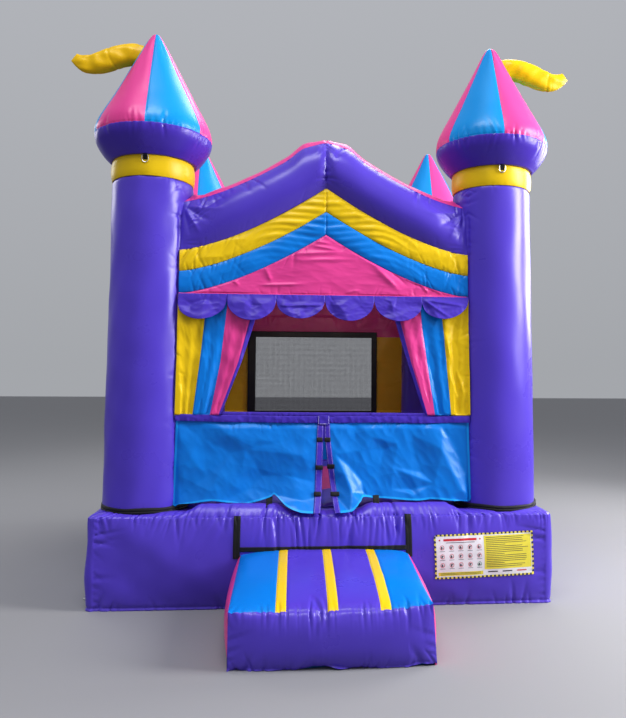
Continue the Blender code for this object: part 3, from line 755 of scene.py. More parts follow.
def build_ramp():
    half, back, front = 0.65, -1.8303, -2.990
    cuts = [0.0, 0.227, 0.279, 0.481, 0.533, 0.741, 0.794, 1.0]
    counts = [50, 14, 44, 14, 46, 14, 50]
    colours = [0, 1, 2, 1, 2, 1, 0]
    share = spread(cuts[0], *zip(cuts[1:], counts))
    slots = np.repeat(colours, counts)
    run = spread(0.0, (0.62, 60), (1.0, 90))
    fx, ft = np.meshgrid(share, run)
    pinch = 1 - 0.020 * ft
    x = (-half + 2 * half * fx) * pinch - 0.006 * ft
    y = back + (front - back) * ft
    height = 0.433 + (0.352 - 0.433) * ft - 0.008 * np.abs(2 * fx - 1) ** 6 * (1 - ft) ** 3
    height = height + 0.030 * np.clip((fx - 0.78) / 0.22, 0, 1) * ft**4
    z = height + 0.055 * ramp_bulge(fx, 0.04 + 0.96 * ft)
    seam = np.min(np.abs(fx[..., None] - np.array(cuts[1:-1])), axis=-1) * 2 * half
    z = z - 0.0035 * bell(seam, 0.006)
    away = (1 - ft) * RAMP_RUN
    along = x + 1.0
    z = z + puckers(along, away, 2.0, 51, 0.043, 0.17, 0.0115, 0.0085, 0.25)
    z = z + puckers(along, away, 2.0, 52, 0.030, 0.06, 0.005, 0.0065, 0.2)
    side_away = np.minimum(fx, 1 - fx) * 2 * half
    z = z + puckers(y + 4, side_away, 4.0, 53, 0.085, 0.09, 0.005, 0.010, 0.4) * smooth(side_away / 0.01)
    z = z + 0.0028 * ripple(stack(x, y, 0 * x), 0.26, 54) * smooth(away / 0.05) * smooth(side_away / 0.05)
    top = stack(x, y, z)

    drop = spread(0.0, (0.25, 18), (0.75, 12), (1.0, 18))
    gx, gd = np.meshgrid(share, drop)
    rim = top[-1][None, :, 2]
    x = top[-1][None, :, 0] * (1 + 0.02 * gd) + 0.012 * gd
    z = rim * (1 - gd)
    swell = 0.058 * ramp_bulge(gx, gd, 2.6)
    relief = puckers(x + 1.0, gd * RAMP_FACE, 2.0, 51, 0.043, 0.17, 0.0105, 0.0085, 0.25)
    relief = relief + puckers(
        x + 1.0, (1 - gd) * RAMP_FACE, 2.0, 57, 0.052, 0.13, 0.011, 0.010, 0.6
    ) * smooth(gd * 3)
    side_away = np.minimum(gx, 1 - gx) * 2 * half
    relief = relief + puckers(
        z, side_away, 0.4, 58, 0.040, 0.17, 0.014, 0.009, 0.4
    ) * smooth(side_away / 0.01)
    relief = relief * smooth(gd / 0.015) + 0.003 * ripple(stack(x, 0 * x, z), 0.24, 59) * smooth(gd / 0.1)
    hem = 0.012 * bell(1 - gd, 0.025) * (1 + 0.8 * ripple(stack(x, 0 * x, 0 * x), 0.12, 60))
    wave = 0.016 * np.clip(ripple(stack(x, 0 * x, 0 * x), 0.42, 61), 0, 1) * smooth((gd - 0.6) / 0.4)
    face = stack(x, front - swell - relief - hem, z + wave)

    skin = Skin()
    skin.add(top, slots[None, :], flip=True)
    skin.add(face, 2, flip=True)
    for side in (-1, 1):
        column = 0 if side < 0 else -1
        gy, gd = np.meshgrid(run, spread(0.0, (0.2, 10), (0.8, 16), (1.0, 10)))
        edge = top[:, column]
        y = back + (front - back) * gy
        z = edge[None, :, 2] * (1 - gd)
        swell = 0.062 * ramp_bulge(0.10 + 0.90 * gy, gd, 2.2)
        relief = puckers(y + 4, gd * 0.4, 4.0, 62 + side, 0.06, 0.10, 0.007, 0.009, 0.4) * smooth(gd / 0.02)
        relief = relief + puckers(
            z, (1 - gy) * RAMP_RUN, 0.4, 66, 0.05, 0.10, 0.006, 0.008, 0.3
        ) * smooth((1 - gy) / 0.01)
        grid = stack(edge[None, :, 0] + side * (swell + relief) + 0.012 * gd * gy, y, z)
        grid[:, -1] = np.stack([np.interp(gd[:, 0], drop, face[:, column, k]) for k in range(3)], axis=-1)
        skin.add(grid, 3, flip=side < 0)
    mesh = skin.mesh("entry_ramp_skin", weld=3e-5, close=True, sharp=60)
    piece("entry_ramp_skin", mesh, [BLUE, YELLOW, PURPLE, PINK], stands_for="entry_ramp", slot="purple_vinyl")


# Towers


def wall_angles(side, depth):
    """Azimuths at which the two walls meet a tower."""
    off = WALL_OFFSET - TOWER_OFFSET
    across = math.sqrt(TOWER_RADIUS**2 - off**2)
    return [math.atan2(depth * off, -side * across), math.atan2(-depth * across, side * off)]


def turn_angles(count, centres):
    """Angles round a tower, closer together at the given ones."""
    fine = np.linspace(0, math.tau, 2001)
    density = np.ones_like(fine)
    for centre in centres:
        gap = np.abs((fine - centre + math.pi) % math.tau - math.pi)
        density += 1.6 * bell(gap, 0.28)
    total = np.concatenate([[0], np.cumsum((density[1:] + density[:-1]) / 2)])
    return np.interp(np.linspace(0, total[-1], count + 1), total, fine)


def on_tower(side, depth, radius, angle, height, shift=0.0):
    """Points round a tower's axis."""
    x = side * TOWER_OFFSET + shift + radius * np.cos(angle)
    return stack(x, depth * TOWER_OFFSET + radius * np.sin(angle), height)


def build_column(name, side, depth, seed):
    centres = wall_angles(side, depth)
    angle = turn_angles(230, centres)
    z = spread(0.7205, (0.80, 9), (3.30, 200), (COLUMN_TOP, 14))
    a, h = np.meshgrid(angle, z)
    radius = TOWER_RADIUS + 0.010 * (1 - smooth((h - 0.72) / 2.4))
    radius -= 0.016 * np.exp(-(h - 0.72) / 0.022) + 0.008 * np.exp(-(COLUMN_TOP - h) / 0.016)
    around = a * TOWER_RADIUS
    radius += puckers(around, COLUMN_TOP - h, math.tau * TOWER_RADIUS, seed, 0.055, 0.07, 0.0032, 0.008, 0.3)
    radius += puckers(around, h - 0.74, math.tau * TOWER_RADIUS, seed + 1, 0.06, 0.07, 0.0030, 0.009, 0.3)
    place = stack(np.cos(a), np.sin(a), h)
    radius += 0.0026 * ripple(place, 0.55, seed + 2, stretch=(1, 1, 1.4))
    for k, centre in enumerate(centres):
        gap = ((a - centre + math.pi) % math.tau - math.pi) * TOWER_RADIUS
        pull = 0.45 + 0.8 * smooth((h - 2.55) / 0.5) + 0.5 * smooth((1.5 - h) / 0.4)
        relief = puckers(h, np.abs(gap), 4.0, seed + 3 + k, 0.058, 0.13, 0.0060, 0.0095, 0.6)
        radius += relief * pull - 0.005 * bell(gap, 0.014) * smooth((3.2 - h) / 0.1)
    lean = -0.012 * side * (1 - smooth((h - 0.72) / 2.4)) * (depth < 0)
    grid = on_tower(side, depth, radius, a, h, -lean)
    one_grid(
        f"column_{name}_skin", grid, PURPLE, stands_for=f"column_{name}", slot="purple_vinyl", close=True,
        sharp=60,
    )

    angle = np.linspace(0, math.tau, 181)
    profile = [
        (0.334, 0.7285), (0.346, 0.7300), (0.3500, 0.7370), (0.3495, 0.7440), (0.3455, 0.7480),
        (0.3450, 0.7510), (0.3485, 0.7550), (0.3480, 0.7640), (0.3450, 0.7700), (0.338, 0.7730),
        (0.328, 0.7710),
    ]
    rows = through(profile, 42)
    wave = 0.003 * np.sin(angle * 3 + seed) + 0.0018 * np.sin(angle * 7 + 2 * seed)
    outward = np.clip(depth * np.sin(angle), 0, 1)
    height = rows[:, 1:] + wave - 0.008 * outward
    grid = on_tower(side, depth, rows[:, :1] + 0.6 * wave, angle, height, 0.012 * side * (depth < 0))
    one_grid(f"foot_tape_{name}", grid, TAPE, slot="black_webbing", thick=0.0015)


def build_collar(name, side, depth, seed):
    angle = np.linspace(0, math.tau, 217)
    z = spread(COLUMN_TOP + 0.0003, (3.45, 8), (3.545, 7), (COLLAR_TOP, 8))
    a, h = np.meshgrid(angle, z)
    t = (h - z[0]) / (z[-1] - z[0])
    radius = 0.3285 + 0.0125 * bow(t, 2.6)
    around = a * COLLAR_RADIUS
    radius += puckers(around, h - z[0], math.tau * COLLAR_RADIUS, seed, 0.055, 0.04, 0.0022, 0.008, 0.3)
    radius += puckers(around, z[-1] - h, math.tau * COLLAR_RADIUS, seed + 1, 0.05, 0.045, 0.0026, 0.008, 0.3)
    radius += 0.001 * ripple(stack(np.cos(a), np.sin(a), h), 0.4, seed + 2)
    grid = on_tower(side, depth, radius, a, h)
    one_grid(
        f"collar_{name}_skin", grid, YELLOW, stands_for=f"collar_{name}", slot="yellow_vinyl", close=True,
        sharp=60,
    )


def dome_line():
    """(radius, height) from the tip down to the collar."""
    points = [
        (0.0, 4.700), (0.030, 4.694), (0.060, 4.655), (0.092, 4.596), (0.125, 4.53), (0.168, 4.445),
        (0.214, 4.355), (0.262, 4.262), (0.310, 4.170), (0.358, 4.078), (0.406, 3.990), (0.446, 3.912),
        (0.470, 3.850), (0.479, 3.795), (0.476, 3.755), (0.462, 3.712), (0.436, 3.668), (0.400, 3.620),
        (0.364, 3.583), (0.349, 3.569), (0.330, 3.567),
    ]
    return through(points, 150)


def build_dome(name, side, depth, seed):
    line = dome_line()
    first = math.radians(-90 + (2 if side < 0 else -2))
    per_gore = 44
    angle = first + np.linspace(0, math.tau, GORES * per_gore + 1)
    part = (np.arange(GORES * per_gore + 1) % per_gore) / per_gore
    seam_z = 3.785
    steps = np.concatenate([[0], np.cumsum(np.linalg.norm(np.diff(line, axis=0), axis=1))])
    seam_at = np.interp(-seam_z, -line[:, 1], steps)
    r, h = line[:, :1], line[:, 1:]
    away = np.abs(steps - seam_at)[:, None]
    spire = smooth((h - seam_z) / 0.12)
    radius = r * (1 + spire * (0.024 * bow(part)[None, :] - 0.014))
    ridge = np.minimum(part, 1 - part)[None, :] * (math.tau / GORES) * np.maximum(r, 0.02)
    radius -= 0.0040 * spire * bell(ridge, 0.006) * smooth(r / 0.06)
    around = (angle - first)[None, :] * BOWL_RADIUS
    length = math.tau * BOWL_RADIUS
    relief = puckers(around, away, length, seed, 0.044, 0.15, 0.0135, 0.0080, 0.25)
    relief += puckers(around, away, length, seed + 1, 0.031, 0.07, 0.0060, 0.0065, 0.2)
    relief -= 0.003 * bell(away, 0.006)
    low = np.abs(steps - steps[-1])[:, None]
    relief += puckers(around, low, length, seed + 2, 0.06, 0.07, 0.005, 0.009, 0.2)
    tip = puckers(ridge + 0.02, h * 0 + steps[:, None], 1.0, seed + 4, 0.02, 0.25, 0.003, 0.006, 0.2)
    place = stack(np.cos(angle)[None, :] + 0 * h, np.sin(angle)[None, :] + 0 * h, h + 0 * angle)
    radius = radius + (
        relief + tip * smooth(r / 0.04) + 0.0024 * ripple(place, 0.5, seed + 3)
    ) * smooth(r / 0.08)
    gore = np.repeat(np.arange(GORES), per_gore) % 2
    if side > 0:
        gore = 1 - gore
    above = (steps[:-1] + steps[1:]) / 2 < seam_at
    slots = np.where(above[:, None], gore[None, :], 2)
    # The blue gores take the dome blue, which has painted light in it.
    one_grid(
        f"dome_{name}_skin", on_tower(side, depth, radius, angle, h), [DOME_BLUE_PAINTED_LIGHT, PINK, DEEP_PURPLE],
        stands_for=f"dome_{name}", slot="purple_vinyl", slots=slots, flip=True, close=True, sharp=60,
    )


def build_ring_loop(name, side, depth):
    """Webbing sewn to the collar, with a loop that holds the D-ring."""
    x0 = side * TOWER_OFFSET
    out = depth * (TOWER_OFFSET + COLLAR_RADIUS)
    bar = depth * (TOWER_OFFSET + 0.346)
    path = [
        (out - depth * 0.001, 3.508), (out + depth * 0.0035, 3.516), (bar + depth * 0.001, 3.5475),
        (bar + depth * 0.0065, 3.555), (bar + depth * 0.001, 3.5625), (out + depth * 0.0055, 3.570),
        (out + depth * 0.006, 3.580), (out + depth * 0.022, 3.600),
    ]
    line = through(path, 44)
    xs = spread(-0.017, (0.017, 10))
    y = line[:, :1] - depth * 0.5 * xs[None, :] ** 2 / COLLAR_RADIUS
    grid = stack(x0 + xs[None, :] + 0 * y, y, line[:, 1:] + 0 * xs)
    one_grid(f"ring_webbing_{name}", grid, TAPE, slot="black_webbing", thick=0.0018)


def build_towers():
    for i, (name, (side, depth)) in enumerate(TOWERS.items()):
        build_column(name, side, depth, 100 + 40 * i)
        build_collar(name, side, depth, 110 + 40 * i)
        build_dome(name, side, depth, 120 + 40 * i)
        build_ring_loop(name, side, depth)


def build_pennants():
    for k, (name, side) in enumerate(SIDES):
        stops = [
            (1.50, 4.545, 0.060, 0.030), (1.57, 4.527, 0.085, 0.046), (1.64, 4.524, 0.094, 0.056),
            (1.71, 4.5135, 0.099, 0.060), (1.80, 4.484, 0.098, 0.060), (1.88, 4.452, 0.096, 0.056),
            (1.95, 4.431, 0.088, 0.050), (2.00, 4.426, 0.080, 0.044), (2.05, 4.434, 0.069, 0.036),
            (2.09, 4.452, 0.059, 0.026), (2.118, 4.472, 0.050, 0.014), (2.128, 4.482, 0.045, 0.004),
        ]
        line = through(stops, 150)
        turn = np.linspace(0, math.tau, 65)
        tangent = np.gradient(line[:, :2], axis=0)
        tangent /= np.linalg.norm(tangent, axis=1)[:, None]
        up = np.stack([-tangent[:, 1], tangent[:, 0]], -1)
        lean = smooth((line[:, 0] - 2.02) / 0.10)[:, None] * 0.22
        c, s = np.cos(turn)[None, :], np.sin(turn)[None, :]
        high = np.sign(s) * np.abs(s) ** 0.9
        along = np.arange(150)[:, None] * 0.0044
        rim = np.abs(c) * 0.08
        relief = puckers(along, rim, 0.66, 81 + k, 0.030, 0.085, 0.0105, 0.0070, 0.3)
        relief = relief + 0.004 * ripple(
            stack(line[:, :1] + 0 * s, c * 0.06 + 0 * along, line[:, 1:2] + s * 0.09), 0.11, 83 + k
        )
        relief = relief * smooth((2.12 - line[:, :1]) / 0.06)
        x = line[:, :1] + up[:, :1] * high * line[:, 2:3] + high * lean * line[:, 2:3]
        z = line[:, 1:2] + up[:, 1:] * high * (line[:, 2:3] + relief * 0.4)
        y = -TOWER_OFFSET + c * (line[:, 3:4] + relief)
        one_grid(
            f"pennant_{name}_skin", stack(side * x, y, z), PENNANT, stands_for=f"pennant_{name}",
            slot="yellow_vinyl", close=True, sharp=60,
        )


# Arches and beams


def beam_skin(t, top, low, ends, seed, peak, crown):
    """Four sewn faces of a beam, as (along, outward, up)."""
    span = t[-1] - t[0]
    s = t[None, :]
    near = ends(t)[None, :]
    along = s + 5.0
    skin = Skin()

    def face(a, b, swell, rows, way, top_reach, low_reach, seed):
        """A face between two seams, each (outward, up) along the beam."""
        v = spread(0.0, (0.25, rows[0]), (0.75, rows[1]), (1.0, rows[0]))[:, None]
        out = a[0] + (b[0] - a[0]) * v
        up = a[1] + (b[1] - a[1]) * v
        height = np.hypot(b[0] - a[0], b[1] - a[1])
        relief = puckers(along, (1 - v) * height, 10.0, seed, 0.052, top_reach, 0.0165, 0.0078, 0.5)
        relief = relief + puckers(along, v * height, 10.0, seed + 1, 0.055, low_reach, 0.008, 0.009, 0.5)
        tip = span / 2 - np.abs(s)
        rise = (v * height - 0.12) / (tip + 0.30)
        fan = puckers(rise + 1, tip, 2.0, seed + 2, 0.085, 0.38, 0.020, 0.018, 0.05)
        relief = relief + fan * smooth((tip - 0.03) / 0.12) * (height > 0.30)
        if crown:
            relief = relief + puckers(
                v * height + 1, np.abs(s), 2.0, seed + 4, 0.045, 0.12, 0.008, 0.009, 0.6
            )
            relief = relief - 0.010 * bell(s, 0.010) * bow(v, 6)
            for reach, drop, depth in (
                (0.09, 0.34, -0.009), (0.17, 0.33, 0.012), (0.27, 0.27, -0.011), (0.38, 0.20, 0.009)
            ):
                relief = relief + crease(
                    tip + 0 * v, (1 - v) * height, (0.01, 0.03), (reach, drop), depth, 0.012, 0.4
                )
        body = stack(s + 0 * v, out, up)
        relief = relief + 0.003 * ripple(body, 0.33, seed + 3) * bow(v)
        push = swell * bow(v, 2.2) * near + relief * (0.25 + 0.75 * bow(v, 6)) * smooth((tip - 0.004) / 0.03)
        return stack(s + 0 * v, out + way[0] * push, up + way[1] * push)

    one = 0 * s
    f0 = (1.657 + one, low[None, :])
    t1 = (1.612 + one, top[None, :] - 0.004)
    t2 = (1.350 + one, top[None, :] - 0.004)
    b1 = (1.320 + one, low[None, :] + 0.012)
    skin.add(face(f0, t1, 0.105, (24, 18), (0.985, 0.17), 0.17, 0.09, seed), 0, flip=True)
    tip = np.clip((span / 2 - np.abs(s)) / 0.05, 0, 1) ** 0.5
    lift = 0.078 * peak(t)[None, :] * tip / np.maximum(near, 0.05)
    skin.add(face(t1, t2, lift, (14, 8), (0.0, 1.0), 0.05, 0.05, seed + 5), 1, flip=True)
    skin.add(face(t2, b1, 0.065, (10, 8), (-0.99, 0.08), 0.06, 0.05, seed + 10), 0, flip=True)
    skin.add(face(b1, f0, 0.045, (8, 6), (0.0, -1.0), 0.05, 0.05, seed + 15), 0, flip=True)
    return skin


def build_beams():
    x = spread(-BEAM_HALF, (-0.95, 56), (0.95, 250), (BEAM_HALF, 56))

    def arch_ends(t):
        fade = np.clip(1 - np.abs(t / WALL_HALF) ** 5, 0.0, 1) ** 0.8
        return fade * (1 - 0.20 * bell(t, 0.040))

    def arch_peak(t):
        return 0.82 + 0.10 * bell(np.abs(t) - 0.20, 0.10)

    def arch_edge(t):
        """The upper edge, fuller beside the peak where the cell swells over its seam."""
        return arch_top(t) + 0.012 * bell(t, 0.12) + 0.030 * bell(np.abs(t) - 0.20, 0.085)

    for name, depth in (("front_arch_beam", -1), ("back_arch_beam", 1)):
        line = YELLOW_LINE if depth < 0 else BACK_LINE
        skin = beam_skin(x, arch_edge(x), gable_line(x, line), arch_ends, 300 + 30 * depth, arch_peak, True)
        for grid in skin.points:
            grid[:, 1] *= depth
        mesh = skin.mesh(f"{name}_skin", close=True, sharp=45)
        piece(f"{name}_skin", mesh, [PURPLE, PINK], stands_for=name, slot="purple_vinyl")
    y = spread(-BEAM_HALF, (-0.95, 50), (0.95, 190), (BEAM_HALF, 50))

    def side_ends(t):
        return np.clip(1 - np.abs(t / WALL_HALF) ** 6, 0.0, 1) ** 0.8

    for k, (name, side) in enumerate((("left_beam", -1), ("right_beam", 1))):
        top = BEAM_TOP + 0 * y
        low = 2.826 + 0 * y
        skin = beam_skin(y, top, low, side_ends, 400 + 40 * k, lambda t: 0.7 + 0 * t, False)
        for grid in skin.points:
            grid[:] = grid[:, [1, 0, 2]]
            grid[:, 0] *= side
        mesh = skin.mesh(f"{name}_skin", close=True, sharp=45)
        piece(f"{name}_skin", mesh, [PURPLE, PINK], stands_for=name, slot="purple_vinyl")


def build_roof():
    """The sheet over the chamber, sagging a little between the arches."""
    gx, gy = np.meshgrid(spread(-ROOF_HALF, (ROOF_HALF, 190)), spread(-ROOF_HALF, (ROOF_HALF, 130)))
    z = arch_top(gx) - 0.045
    flat = stack(gx, gy, 0 * gx)
    edge = np.minimum(ROOF_HALF - np.abs(gy), ROOF_HALF - np.abs(gx))
    z -= 0.055 * bow((gy + ROOF_HALF) / 2.67, 2.0) * smooth(edge / 0.3)
    z += 0.006 * ripple(flat, 0.9, 501, stretch=(0.4, 1, 1)) * smooth(edge / 0.15)
    z += 0.010 * crumple(flat, 0.8, 503, stretch=(0.5, 1, 1)) * smooth(edge / 0.2)
    for k, v in enumerate((ROOF_HALF - gy, ROOF_HALF + gy)):
        z += puckers(gx + 3, v, 6.0, 505 + k, 0.06, 0.22, 0.008, 0.012, 0.3)
    roof = one_grid(
        "roof_sheet", stack(gx, gy, z), PINK, stands_for="roof_panel", slot="pink_vinyl", thick=VINYL
    )


# Front


def build_gable():
    x = spread(-WALL_HALF, (0.0, 190), (WALL_HALF, 190))
    bands = (
        ("yellow", YELLOW_LINE, BLUE_LINE, YELLOW, 601, 1.0), ("blue", BLUE_LINE, PINK_LINE, BLUE, 611, 0.8)
    )
    for name, upper, lower, material, seed, strong in bands:
        v = spread(0.0, (1.0, 30))[:, None]
        top, low = gable_line(x, upper)[None, :], gable_line(x, lower)[None, :]
        z = top + (low - top) * v
        gx = x[None, :] + 0 * v
        height = top - low
        out = 0.012 * bow(v, 2.4)
        # Folds that fan out from the peak, near level there and steeper towards the towers
        side = np.abs(gx)
        lean = z - 0.10 * side + 0.42 * np.maximum(side - 0.30, 0) * smooth((side - 0.3) / 0.6)
        fan = 0.55 * np.sin(lean * 110 + 2.0 * np.sin(gx * 3.1 + seed))
        fan = fan + 0.45 * np.sin(lean * 63 + 1.7 * np.sin(gx * 5.0 + 1.0 + seed))
        near = smooth((0.78 - side) / 0.5) * (0.75 + 0.25 * np.sin(gx * 9 + seed))
        out = out + 0.0065 * strong * np.sign(fan) * np.abs(fan) ** 0.8 * near * bow(v, 4)
        out = out + 0.006 * strong * crumple(
            stack(gx, 0 * gx, lean), 0.16, seed + 2, stretch=(0.35, 1, 1)
        ) * bow(v, 5)
        far = smooth((side - 0.55) / 0.4)
        out = out + far * (
            puckers(gx + 2 + 0.2 * v * height, v * height, 4.0, seed, 0.050, 0.22, 0.0095, 0.0085, 0.6)
            + puckers(gx + 2, (1 - v) * height, 4.0, seed + 1, 0.052, 0.20, 0.008, 0.0085, 0.6)
        )
        out = out + 0.003 * ripple(stack(gx, 0 * gx, z), 0.4, seed + 3)
        out = out - 0.007 * bell(gx, 0.007)
        sheet = one_grid(
            f"gable_{name}_sheet", stack(gx, -WALL_OFFSET - out, z), material,
            stands_for=f"gable_{name}_band", slot=f"{name}_vinyl", thick=VINYL,
        )
    v = spread(0.0, (1.0, 100))[:, None]
    top = gable_line(x, PINK_LINE)[None, :]
    z = top + (VALANCE_TOP - top) * v
    gx = x[None, :] + 0 * v
    flat = stack(gx, 0 * gx, z)
    edge = np.minimum(top - z, z - VALANCE_TOP)
    out = 0.006 * ripple(flat, 0.6, 621) + 0.005 * crumple(flat, 0.45, 623, stretch=(0.6, 1, 1))
    out = out + 0.0022 * crumple(flat, 0.16, 629, stretch=(0.7, 1, 1))
    out = out + puckers(gx + 2, z - VALANCE_TOP, 4.0, 625, 0.06, 0.10, 0.006, 0.009, 0.6)
    out = out + puckers(gx + 2, top - z, 4.0, 627, 0.07, 0.12, 0.007, 0.010, 0.9)
    for start, end, depth, width in (
        ((-0.34, 2.80), (0.20, 2.835), 0.012, 0.012),
        ((-0.30, 2.75), (0.30, 2.775), 0.010, 0.012),
        ((-0.60, 2.545), (-0.12, 2.560), 0.011, 0.009),
        ((-0.50, 2.70), (-0.44, 2.56), 0.010, 0.012),
        ((-0.78, 2.62), (-0.70, 2.53), 0.010, 0.010),
        ((0.36, 2.76), (0.64, 2.49), 0.016, 0.018),
        ((0.50, 2.72), (0.70, 2.54), -0.008, 0.012),
        ((-0.13, 2.88), (0.12, 2.845), 0.011, 0.009),
        ((-0.12, 2.92), (0.06, 2.895), 0.008, 0.008),
        ((0.80, 2.58), (0.86, 2.49), 0.009, 0.009),
        ((0.88, 2.56), (0.98, 2.485), 0.010, 0.008),
        ((0.95, 2.55), (1.03, 2.48), 0.008, 0.007),
        ((0.15, 2.49), (0.30, 2.52), 0.008, 0.009),
    ):
        out = out + crease(gx, z, start, end, depth, width, 0.4)
    out = out * smooth(edge / 0.02)
    sheet = one_grid(
        "gable_pink_sheet", stack(gx, -WALL_OFFSET - out, z), PINK, stands_for="gable_pink_panel",
        slot="pink_vinyl", thick=VINYL,
    )
    line = np.stack([x, -WALL_OFFSET - 0.006 + 0 * x, VALANCE_TOP + 0.002 + 0.0010 * np.sin(x * 40)], -1)
    piece("valance_piping", tube(line[::3], 0.0045, 8).mesh("valance_piping"), PINK, slot="pink_vinyl")


def build_valance():
    cusps = [
        (-1.192, 2.372), (-0.801, 2.402), (-0.403, 2.400), (-0.006, 2.406), (0.401, 2.406), (0.801, 2.396),
        (1.193, 2.440),
    ]
    lows = [2.258, 2.251, 2.270, 2.255, 2.257, 2.282]
    per = 52
    u = np.linspace(0, 1, per + 1)
    v = spread(0.0, (1.0, 44))[:, None]
    skin = Skin()
    rng = np.random.default_rng(71)
    for i in range(6):
        (x0, z0), (x1, z1) = cusps[i], cusps[i + 1]
        x = (x0 + (x1 - x0) * u)[None, :]
        chord = z0 + (z1 - z0) * u
        low = chord - (0.5 * (z0 + z1) - lows[i]) * np.clip(1 - np.abs(2 * u - 1) ** 2.0, 0, 1) ** 0.62
        low = low + 0.016 * bell(np.minimum(u, 1 - u), 0.03)
        z = VALANCE_TOP - (VALANCE_TOP - low[None, :]) * v
        gx = x + 0 * v
        flat = stack(gx, 0 * gx, z)
        hang = (VALANCE_TOP - z) / 0.2
        middle = (x0 + x1) / 2
        out = 0.020 + 0.030 * hang + 0.018 * bow(u)[None, :] * hang
        out = out + 0.020 * hang * (gx - middle) / 0.4 * rng.uniform(-1, 1)
        folds = [
            (x0 - 0.1, 2.50, 0.0), (x1 + 0.1, 2.50, 0.0), (x0 - 0.1, 2.20, 0.0), (x1 + 0.1, 2.20, 0.0),
            (x0, 2.468, 0.0), (middle, 2.468, 0.0), (x1, 2.468, 0.0), (x0, z0 - 0.02, 0.002),
            (x1, z1 - 0.02, 0.002),
        ]
        for _ in range(6):
            folds.append(
                (x0 + (x1 - x0) * rng.uniform(0.1, 0.9), rng.uniform(2.29, 2.43), rng.uniform(-0.018, 0.022))
            )
        folds += [(x0, 2.20, 0.0), (middle, 2.20, 0.02), (x1, 2.20, 0.0)]
        out = out + facets(gx, z, folds) * smooth(hang * 2.5)
        out = out + 0.006 * crumple(flat, 0.14, 73 + i) * smooth(hang * 2)
        out = out + puckers(gx + 2, VALANCE_TOP - z, 4.0, 77, 0.045, 0.09, 0.006, 0.008, 0.5)
        if i == 5:
            out = out + crease(gx, z, (0.80, 2.45), (1.02, 2.29), 0.012, 0.010)
            out = out + crease(gx, z, (0.82, 2.44), (1.17, 2.39), 0.012, 0.010)
        if i == 2:
            out = out + crease(gx, z, (-0.38, 2.375), (-0.02, 2.385), 0.012, 0.008, 0.1)
            out = out + crease(gx, z, (-0.22, 2.36), (-0.20, 2.27), 0.008, 0.02)
        skin.add(stack(gx, -WALL_OFFSET - np.maximum(out, 0.016 + 0.02 * np.minimum(hang, 1)), z))
    mesh = skin.mesh("valance_scallops", sharp=None)
    sheet = piece("valance_scallops", mesh, TRIM_PURPLE, "valance", "valance", "purple_vinyl", VINYL)


def build_curtains():
    low, high = 1.487, VALANCE_TOP - 0.001
    levels = [1.487, 1.50, 1.917, 2.25, 2.467]
    edges = {
        "left": ([(-1.203, -1.203, -1.197, -1.195, -1.195), (-1.061, -1.061, -1.011, -0.979, -0.960),
                  (-0.926, -0.923, -0.848, -0.812, -0.790), (-0.853, -0.851, -0.702, -0.616, -0.560),
                  (-0.838, -0.833, -0.677, -0.574, -0.515)], -1),
        "right": ([(1.203, 1.203, 1.197, 1.195, 1.195), (1.042, 1.040, 1.006, 0.973, 0.960),
                   (0.908, 0.904, 0.844, 0.798, 0.780), (0.846, 0.842, 0.711, 0.622, 0.570),
                   (0.824, 0.819, 0.682, 0.580, 0.525)], 1),
    }
    counts = [34, 30, 30, 8]
    for k, (name, (lines, side)) in enumerate(edges.items()):
        share = spread(0.0, *[(i + 1.0, c) for i, c in enumerate(counts)])
        t = spread(0.0, (1.0, 130))[:, None]
        z = low + (high - low) * t
        at = np.stack([np.interp(z[:, 0], levels, line) for line in lines], -1)
        x = np.stack([np.interp(share, range(5), row) for row in at])
        width = np.abs(x - x[:, :1])
        across = width / width[:, -1:]
        gather = 1 - t
        out = 0.011 * np.sin(across * math.tau * 2.3 + 0.8 + k + 0.7 * t) * (0.4 + 0.9 * gather)
        out = out + 0.007 * np.sin(across * math.tau * 5.3 + 2.6 * t + 2 * k) * (0.35 + gather)
        flat = stack(x, 0 * x, z + 0 * x)
        skew = stack(across * 0.5 + 0 * z, 0 * x, z + 0.5 * across)
        out = out + 0.009 * crumple(
            skew, 0.30, 801 + k, stretch=(1, 1, 0.55)
        ) + 0.004 * ripple(flat, 0.2, 805 + k)
        out = out + 0.0045 * crumple(skew, 0.12, 821 + k, stretch=(1, 1, 0.6))
        seams = np.min(np.abs(share[:, None] - np.array([1.0, 2.0, 3.0])[None, :]), axis=1)
        out = out - 0.004 * bell(seams, 0.05)[None, :]
        out = out + puckers(z, np.abs(x - x[:, :1]), 4.0, 811 + k, 0.075, 0.09, 0.006, 0.010, 0.5)
        out = out + puckers(z, np.abs(x - x[:, -1:]), 4.0, 815 + k, 0.055, 0.07, 0.005, 0.009, 0.7)
        out = out + puckers(x + 2, z - low, 4.0, 817 + k, 0.045, 0.16, 0.006, 0.009, 0.2)
        if side > 0:
            for start, end in (
                ((1.05, 1.98), (1.17, 1.60)), ((1.02, 1.86), (1.12, 1.55)), ((0.98, 2.20), (1.06, 1.88))
            ):
                out = out + crease(x, z + 0 * x, start, end, 0.014, 0.011, 0.4)
        out = out * smooth(np.minimum(z - low, high - z) / 0.02 + 0.2) * (1 - 0.6 * smooth((z - 2.2) / 0.15))
        out = out + 0.018 - 0.010 * smooth((z - 1.6) / 0.5)
        slots = np.repeat([0, 1, 2, 3], counts)
        out = np.minimum(out, 0.03 - 0.015 * smooth((z - 2.2) / 0.15))
        grid = stack(x, -WALL_OFFSET - np.maximum(out, 0.003), z + 0 * x)
        sheet = one_grid(
            f"curtain_{name}_sheet", grid, [YELLOW, BLUE, PINK, TRIM_PURPLE], stands_for=f"curtain_{name}",
            slot="pink_vinyl", thick=VINYL, slots=slots[None, :], flip=side > 0,
        )


